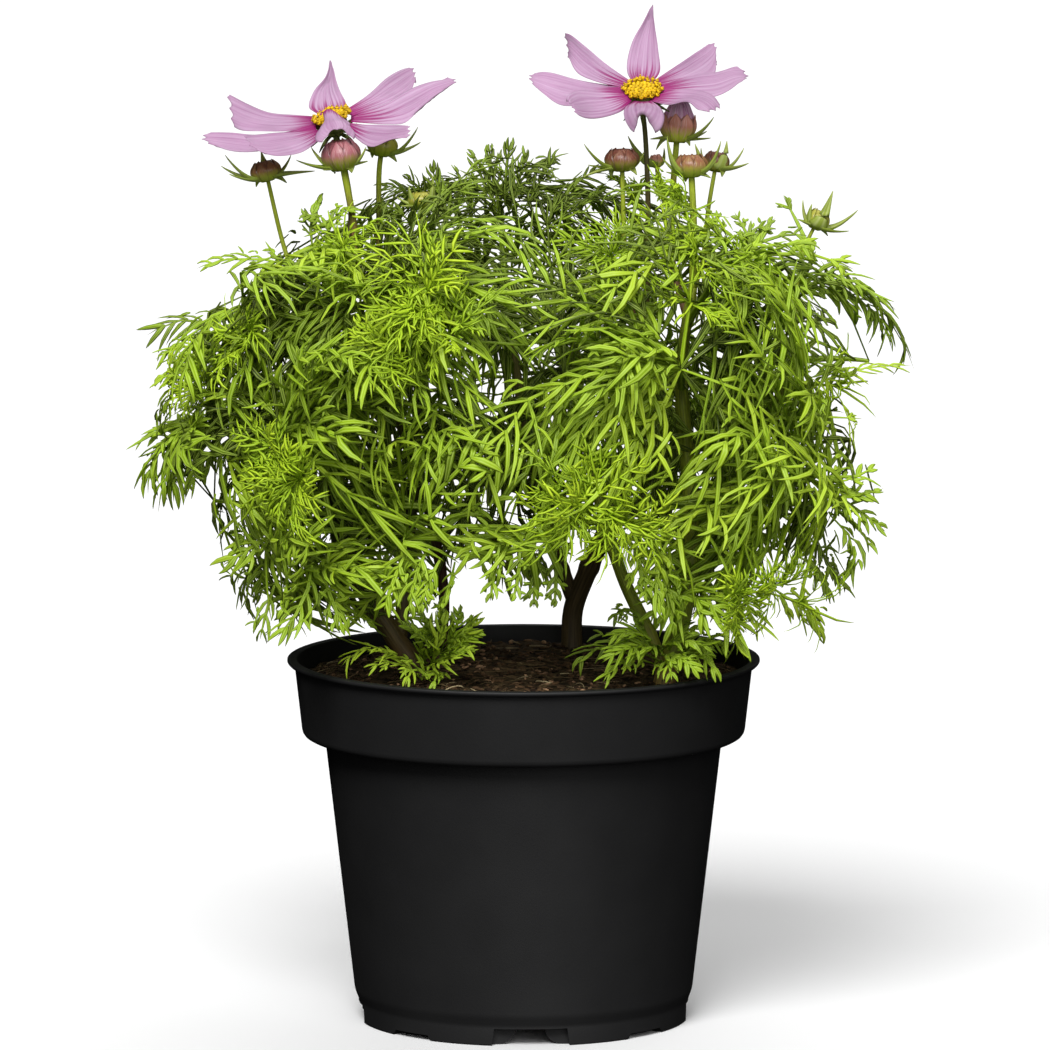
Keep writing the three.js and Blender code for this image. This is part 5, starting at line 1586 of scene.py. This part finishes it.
def add_bud_head(scales, greens, bud):
    add_scales(scales, bud)
    for i, tip in enumerate(bud["bracts"]):
        depth = bud["stalk"][-1][1] + SPREADING_BRACT["tip_depths"][i % 2]
        grid = spreading_bract(bud, photo_place(*tip, depth))
        add_sheet(greens, grid, SPREADING_BRACT["thickness"], rng.uniform(*SPREADING_BRACT["tone"]))


def add_furled_petals(shape, bud):
    """Pleated petals that push out of an opening bud and close to a twisted point."""
    axes = head_axes(bud)
    share = np.linspace(0, 1, FURLED["rows"])
    across = np.linspace(-1, 1, FURLED["columns"])
    half = read_off(FURLED_HALF_ANGLES, share)
    deepening = read_off(FURLED_DEEPENING, share)[:, None]
    for i in range(FURLED["count"]):
        waved = FURLED["pleats"] * np.cos(FURLED["pleat_count"] * math.pi * across[None, :] + i)
        ring = bud["radius"] * read_off(FURLED_RADII, share)[:, None] * (1 + waved * deepening)
        heights = bud["height"] * (FURLED["height"] * share - FURLED["sunk"])
        heights = heights * rng.uniform(*FURLED["heights"])
        angle = i * 2 * math.pi / FURLED["count"] + FURLED["twist"]
        add_sheet(shape, gore(axes, angle, ring, heights, half, across), FURLED["thickness"], rng.random())


def make_buds():
    scale = {look: bud_material(f"bud_{look}", *colours) for look, colours in BUD_LOOKS.items()}
    green = blade_material("bud_green", *BRACT_GREENS)
    for i, bud in enumerate(BUDS):
        name = f"bud_{i + 1:02}"
        scales, greens, stalk = Shape(), Shape(), Shape()
        add_stalk(stalk, [place_on(*bud["on"]), *bud["stalk"]], bud["stalk_radius"])
        add_bud_head(scales, greens, bud)
        if i == SIDE_BUD["on"]:
            add_stalk(stalk, SIDE_BUD["stalk"], SIDE_BUD["stalk_radius"])
            add_bud_head(scales, greens, SIDE_BUD)
        make_piece(f"{name}_scales", scales, scale[bud["look"]], [name])
        make_piece(f"{name}_bracts", greens, green)
        heights = (bud["brown_below"] - STALK_CHANGE, bud["brown_below"] + STALK_CHANGE)
        skin = stem_material(f"{name}_stalk_skin", *STALK_COLOURS, *heights)
        make_piece(f"{name}_stalk", stalk, skin)
        if bud["look"] == "opening":
            petals = Shape()
            add_furled_petals(petals, bud)
            # The furled petals' pinks carry painted light.
            furled = petal_material("petal_furled_with_painted_light", FURLED_PINKS_AND_PAINTED_LIGHT, FURLED_MAGENTA)
            make_piece(f"{name}_petals", petals, furled)


# Leaves

class Leaflets:
    """Collects the leaflets of one piece before they are meshed together. A leaflet stays where its
    guide, a place near its end, is in the crown; a midrib always stays."""

    def __init__(self):
        self.parts = []

    def add(self, start, middle, end, up, half_width, tone, guide, always=False):
        stays = np.full(len(tone), always)
        self.parts.append((start, middle, end, up, half_width, tone, guide, stays))

    def mesh(self, shape, free=False, plain=False):
        if not self.parts:
            return
        *blades, guide, stays = (np.concatenate(values) for values in zip(*self.parts))
        if not free:
            stays |= in_crown(guide) & in_the_open(blades[1]) & in_the_open(blades[2])
            blades = [values[stays] for values in blades]
        near = (blades[2][:, 1] < GROOVES_UNTIL) & (not plain)
        for group, section in ((near, GROOVED), (~near, PLAIN)):
            if group.any():
                *curve, half_width, tone = (values[group] for values in blades)
                thick = LEAF_THICKNESS["least"] + LEAF_THICKNESS["share"] * half_width
                add_blades(shape, *curve, half_width, thick, tone, LEAF_OUTLINE, section)


def in_crown(places):
    """Which places the camera sees inside the crown's ragged outline."""
    column, row = seen(places)
    middle_column, middle_row = seen(np.array([0, 0, DOME["middle"]]))
    ragged = rng.uniform(*RAGGED, len(places))
    return inside(CROWN_OUTLINE, middle_column + (column - middle_column) / ragged,
                  middle_row + (row - middle_row) / ragged)


def in_the_open(places):
    """Which places are out of the clearings and not in front of the stems that show."""
    column, row = seen(places)
    keep = places[:, 1] > CROWN_FRONT
    for at_column, at_row, radius in CLEARINGS:
        keep &= np.hypot(column - at_column, row - at_row) > radius
    for at_column, first, last, half_width, depth in STEM_VIEWS:
        across = (np.abs(column - at_column) < half_width) & (row > first) & (row < last)
        keep &= ~(across & (places[:, 1] < depth))
    return keep


def add_leaf(leaflets, rib, up, tone, half_width, pairs=LEAF_PAIRS["count"], reach=1.0):
    """A feathery leaf whose midrib runs through three places, with pairs of leaflets along it and
    lobes on the lower ones."""
    start, middle, end = rib
    control = 2 * middle - (start + end) / 2
    length = np.linalg.norm(middle - start) + np.linalg.norm(end - middle)
    fold, droop, forward_bend = (rng.uniform(*limits) for limits in LEAF_FORM.values())

    def at(x, y, sink):
        """Places on the leaf: x along its rib, y to its side and how far it sinks."""
        t = np.clip(x, 0, LEAF_PAIRS["past_end"])
        along = unit((1 - t)[:, None] * (control - start) + t[:, None] * (end - control))
        side = unit(np.cross(up, along))
        normal = np.cross(along, side)
        lift = fold * np.abs(y) - droop * y * y - sink
        return bezier(start, control, end, t) + length * (side * y[:, None] + normal * lift[:, None])

    def blades(x0, y0, angle, size, width, guide=None):
        """Leaflets from places on the leaf, each bent forward in its middle."""
        count = len(x0)
        forward = np.sign(angle) * rng.normal(forward_bend, LEAFLET_SCATTER["bend"], count)
        x1, y1 = x0 + 0.5 * size * np.cos(angle), y0 + 0.5 * size * np.sin(angle)
        bend = angle - forward
        x2, y2 = x1 + 0.5 * size * np.cos(bend), y1 + 0.5 * size * np.sin(bend)
        sink = rng.normal(*LEAFLET_SCATTER["sink"], count) * size
        tilt = unit(up + rng.normal(0, LEAFLET_SCATTER["tilt"], (count, 3)))
        shade = tone + rng.normal(0, LEAFLET_SCATTER["tone"], count)
        flat = np.zeros(count)
        begin, knee, tip = at(x0, y0, flat), at(x1, y1, flat), at(x2, y2, sink)
        if guide is None:
            guide = sum(share * place for share, place in zip(GUIDE, (begin, knee, tip)))
        leaflets.add(begin, knee, tip, tilt, width, shade, guide)
        return guide

    ends = np.array([start, control, end])[:, None]
    rib_width, rib_tone = np.array([RIB_WIDTH * half_width]), np.array([float(tone)])
    leaflets.add(*ends, unit(up)[None], rib_width, rib_tone, ends[1], always=True)
    share = np.repeat(np.linspace(LEAF_PAIRS["first"], LEAF_PAIRS["last"], pairs), 2)
    count = len(share)
    hand = np.tile([-1, 1], pairs)
    size = read_off(LEAFLET_SIZES, share) * rng.uniform(*LEAFLET_SCATTER["size"], count)
    size = size * reach * min(1, LEAF_PAIRS["full_until"] / length) ** 0.3
    share = share + rng.normal(0, LEAFLET_SCATTER["place"], count)
    spread = LEAF_PAIRS["angle"] - LEAF_PAIRS["closing"] * share
    angle = hand * np.radians(spread + rng.normal(0, LEAFLET_SCATTER["angle"], count))
    width = half_width * rng.uniform(*LEAFLET_SCATTER["width"], count)
    guides = blades(share, np.zeros(count), angle, size, width)
    low = np.arange(count) < 2 * LOBES["pairs"]
    for turn in (-LOBES["turn"], LOBES["turn"]):
        grown = low & (rng.random(count) < LOBES["chance"])
        out = size[grown] * rng.uniform(*LOBES["place"], grown.sum())
        x1, y1 = share[grown] + out * np.cos(angle[grown]), out * np.sin(angle[grown])
        lobe = size[grown] * rng.uniform(*LOBES["size"], grown.sum())
        blades(x1, y1, angle[grown] + turn, lobe, width[grown] * LOBES["width"], guides[grown])


def arched(start, end, up, arch, sway):
    """The three places of a midrib that arches up and sways aside, against its length."""
    reach = end - start
    side = np.cross(up, reach)
    return start, (start + end) / 2 + up * np.linalg.norm(reach) * arch + side * sway, end


def nearest(places, target):
    """The place nearest to a target, and its distance."""
    gap = np.linalg.norm(places - target, axis=-1)
    return places[np.unravel_index(gap.argmin(), gap.shape)], gap.min()


def crown_depth(x, height):
    """How deep the crown is to either side of its middle, at a seen place."""
    left = 1 - (x / DOME["half_length"]) ** 2 - ((height - DOME["middle"]) / DOME["half_height"]) ** 2
    return DOME["half_depth"] * np.sqrt(np.clip(left, DOME["least"], 1))


def crown_targets(layer, spacing):
    """Evenly spread places in the crown, at a layer of its depth from -1 to 1."""
    corners = np.array(CROWN_OUTLINE, float)
    step = spacing * PIXELS_PER_MM
    column, row = np.meshgrid(*(
        np.arange(low, high, step) for low, high in zip(corners.min(axis=0), corners.max(axis=0))
    ))
    column[::2] += step / 2
    across, deep = LAYER_SPREAD["across"], LAYER_SPREAD["deep"]
    column = column.ravel() + rng.uniform(-across, across, column.size) * step
    row = row.ravel() + rng.uniform(-across, across, row.size) * step
    level = layer + rng.uniform(-deep, deep, row.size)
    places = []
    for i in np.flatnonzero(inside(corners, column, row)):
        x, _, height = photo_place(column[i], row[i], 0)
        places.append(photo_place(column[i], row[i], crown_depth(x, height) * level[i]))
    return places


def carrier(starts, target, outward):
    """The twig place that suits a leaf whose tip is at target."""
    gap = np.linalg.norm(starts - target, axis=-1)
    facing = unit(target - starts) @ outward
    rise = np.clip((target[2] - starts[..., 2]) / CARRIER["rise"], -1, 1)
    wanted_gap = rng.uniform(*CARRIER["gap"])
    wanted_facing = rng.uniform(*CARRIER["facing"]) * (1 - CARRIER["sideways"] * abs(outward[1]))
    cost = np.abs(gap - wanted_gap) + CARRIER["facing_cost"] * np.abs(facing - wanted_facing)
    cost = cost + rng.normal(*CARRIER["rise_cost"]) * rise
    return np.unravel_index(cost.argmin(), cost.shape)


def add_dome_leaves(leaves, starts):
    """The dome's leaves, each on the twig that suits it, with its outer half inside the crown."""
    centre = np.array([0, 0, DOME["leaf_centre"]])
    # Each layer's tone is painted shade, darker deep inside the crown.
    for layer, spacing, tone in CROWN_LAYERS:
        for target in crown_targets(layer, spacing):
            outward = unit(target - centre)
            which, where = carrier(starts, target, outward)
            start = starts[which, where]
            reach = target - start
            far = np.linalg.norm(reach)
            end = start + reach * np.clip(far, *DOME_LEAF["length"]) / far
            up = outward * rng.uniform(*DOME_LEAF["outward"]) + (0, 0, DOME_LEAF["upward"])
            up = unit(up + rng.normal(0, DOME_LEAF["up_scatter"], 3))
            rib = arched(start, end, up, rng.uniform(*DOME_LEAF["arch"]), rng.normal(0, DOME_LEAF["sway"]))
            outer = bezier(start, 2 * rib[1] - (start + end) / 2, end, np.array(DOME_LEAF["tested"]))
            if not (in_crown(outer) & in_the_open(outer)).all():
                continue
            high = np.interp(seen(target)[1], [TOP_ROWS["high"], TOP_ROWS["low"]], [1, 0])
            half_width = rng.uniform(*DOME_LEAF["half_width"]) * (1 - TOP_ROWS["narrower"] * high)
            # Leaves near the crown's top are darkened as painted shade.
            shade = tone - TOP_ROWS["darker"] * high + rng.normal(0, DOME_LEAF["tone_scatter"])
            add_leaf(leaves[which], rib, up, shade, half_width)


def add_picked_leaves(shape, picked, carriers):
    """Leaves at picked places, each joined to the nearest stem or twig by a stalk."""
    leaflets = Leaflets()
    for *places, tone, half_width, pairs, leaflet_reach in picked:
        rib = [photo_place(*place) for place in places]
        root, gap = nearest(carriers, rib[0])
        middle = (root + rib[0]) / 2 + (0, 0, PICKED_LEAF["stalk_arch"] * gap)
        past = rib[0] + unit(rib[0] - root) * PICKED_LEAF["overlap"]
        stalk = (place[None] for place in (root, middle, past, np.array(PICKED_LEAF["stalk_up"])))
        leaflets.add(*stalk, np.array([half_width]), np.array([float(tone)]), rib[0][None], always=True)
        up = unit(np.array(PICKED_LEAF["up"]) + rng.normal(0, PICKED_LEAF["up_scatter"], 3))
        add_leaf(leaflets, rib, up, tone, half_width, pairs, leaflet_reach)
    leaflets.mesh(shape, free=True)


def shoot_twig(stem, branch, share, tip):
    """A side shoot's path, from its stem in a low arch to its tip."""
    start = place_on(stem, branch, share)
    tip = np.array(tip, float)
    middle = (start + tip) / 2 + (0, 0, TWIG["arch"] * np.linalg.norm(tip - start))
    return bezier(start, middle, tip, np.linspace(0, 1, TWIG["places"]))


def make_foliage():
    mature = blade_material("leaf_green", *LEAF_GREENS)
    young = blade_material("leaf_young", *YOUNG_GREENS)
    twigs = {name: shoot_twig(*shoot) for name, shoot in SHOOTS.items()}
    shapes = {name: Shape() for name in [*twigs, *PICKED_LEAVES]}
    twig_end = round(TWIG["places"] * TWIG["share"])
    for name, path in twigs.items():
        radii = np.linspace(TWIG["start_radius"], TWIG["end_radius"], twig_end)
        add_tube(shapes[name], path[:twig_end], radii, TWIG["sides"], TWIG["tone"])
    starts = np.stack([path[TWIG["bare"]:twig_end:2] for path in twigs.values()])
    leaves = [Leaflets() for _ in twigs]
    add_dome_leaves(leaves, starts)
    for name, leaflets in zip(twigs, leaves):
        leaflets.mesh(shapes[name])
    carriers = np.concatenate([*twigs.values(), *(stem_path(s, b) for s in STEMS for b in STEMS[s])])
    for name, picked in PICKED_LEAVES.items():
        add_picked_leaves(shapes[name], picked, carriers)
    for name, shape in shapes.items():
        make_piece(f"{name}_spray", shape, mature, [name])
    make_tufts(young, starts)


def add_tuft(leaflets, centre, radius, outward):
    """Fine young leaves that spread around a shoot's end."""
    across = unit(np.cross(outward, (0, 0, 1)))
    rise = np.cross(across, outward)
    for turn in np.arange(TUFT["leaves"]) * TUFT["turn"]:
        side = across * math.cos(turn) + rise * math.sin(turn)
        heading = unit(side + outward * rng.uniform(*TUFT["outward"]))
        end = centre + heading * radius * rng.uniform(*TUFT["length"])
        up = unit(outward + rng.normal(0, TUFT["up_scatter"], 3))
        start = centre - heading * TUFT["overlap"]
        rib = arched(start, end, up, rng.uniform(*TUFT["arch"]), rng.normal(0, TUFT["sway"]))
        tone, half_width = rng.uniform(*TUFT["tone"]), rng.uniform(*TUFT["half_width"])
        add_leaf(leaflets, rib, up, tone, half_width, TUFT["pairs"], TUFT["reach"])


def make_tufts(material, starts):
    shape, leaflets = Shape(), Leaflets()
    for column, row, depth, radius in TUFTS:
        centre = photo_place(column, row, depth)
        root, gap = nearest(starts, centre)
        middle = (root + centre) / 2 + (0, 0, TUFT["stalk_arch"] * gap)
        path = bezier(root, middle, centre, np.linspace(0, 1, TUFT["stalk_places"]))
        add_tube(shape, path, np.linspace(*TUFT["stalk_radii"], len(path)), TWIG["sides"])
        add_tuft(leaflets, centre, radius, unit(centre - (0, 0, DOME["tuft_centre"])))
    leaflets.mesh(shape, plain=True)
    make_piece("young_leaves", shape, material)


# Studio

def aim(thing, place, target):
    """Puts a camera or a light at a place and points it at a target."""
    thing.location = place
    direction = np.array(target, float) - np.array(place, float)
    yaw = math.atan2(direction[0], direction[1])
    pitch = math.atan2(direction[2], math.hypot(direction[0], direction[1]))
    thing.rotation_euler = (math.pi / 2 + pitch, 0, -yaw)


def add_camera():
    data = bpy.data.cameras.new("camera")
    data.lens = CAMERA["lens"]
    data.sensor_width = CAMERA["sensor"]
    data.shift_x = CAMERA["shift"]
    data.clip_end = CAMERA["clip_end"] * MM
    camera = bpy.data.objects.new("camera", data)
    bpy.context.scene.collection.objects.link(camera)
    back = CAMERA["distance"] * COSINE * MM
    height = (CAMERA["aim"] + CAMERA["distance"] * SINE) * MM
    aim(camera, (0, -back, height), (0, 0, CAMERA["aim"] * MM))
    bpy.context.scene.camera = camera


def add_sun(name, azimuth, elevation, strength, size):
    data = bpy.data.lights.new(name, "SUN")
    data.energy = strength
    data.angle = math.radians(size)
    light = bpy.data.objects.new(name, data)
    bpy.context.scene.collection.objects.link(light)
    side, up = math.radians(azimuth), math.radians(elevation)
    place = (math.sin(side) * math.cos(up), -math.cos(side) * math.cos(up), math.sin(up))
    aim(light, place, (0, 0, 0))


def add_floor():
    reach = FLOOR["reach"] * MM
    mesh = bpy.data.meshes.new("floor")
    corners = [(-reach, -reach, 0), (reach, -reach, 0), (reach, reach, 0), (-reach, reach, 0)]
    mesh.from_pydata(corners, [], [(0, 1, 2, 3)])
    floor = bpy.data.objects.new("floor", mesh)
    bpy.context.scene.collection.objects.link(floor)
    white = Nodes("floor_white", roughness=0.9, specular=0.1)
    white.colour(FLOOR["colour"])
    mesh.materials.append(white.material)
    floor.visible_diffuse = False
    floor.visible_glossy = False


def make_studio():
    add_floor()
    world = bpy.data.worlds.new("studio")
    bpy.context.scene.world = world
    world.use_nodes = True
    background = world.node_tree.nodes["Background"]
    background.inputs["Color"].default_value = (1, 1, 1, 1)
    background.inputs["Strength"].default_value = SKY_STRENGTH
    world.cycles_visibility.glossy = False
    for name, light in LIGHTS.items():
        add_sun(name, *light)
    bpy.context.scene.view_settings.view_transform = "Standard"


make_pot()
make_soil()
make_soil_litter()
make_stems()
make_flowers()
make_buds()
make_foliage()
make_studio()
add_camera()
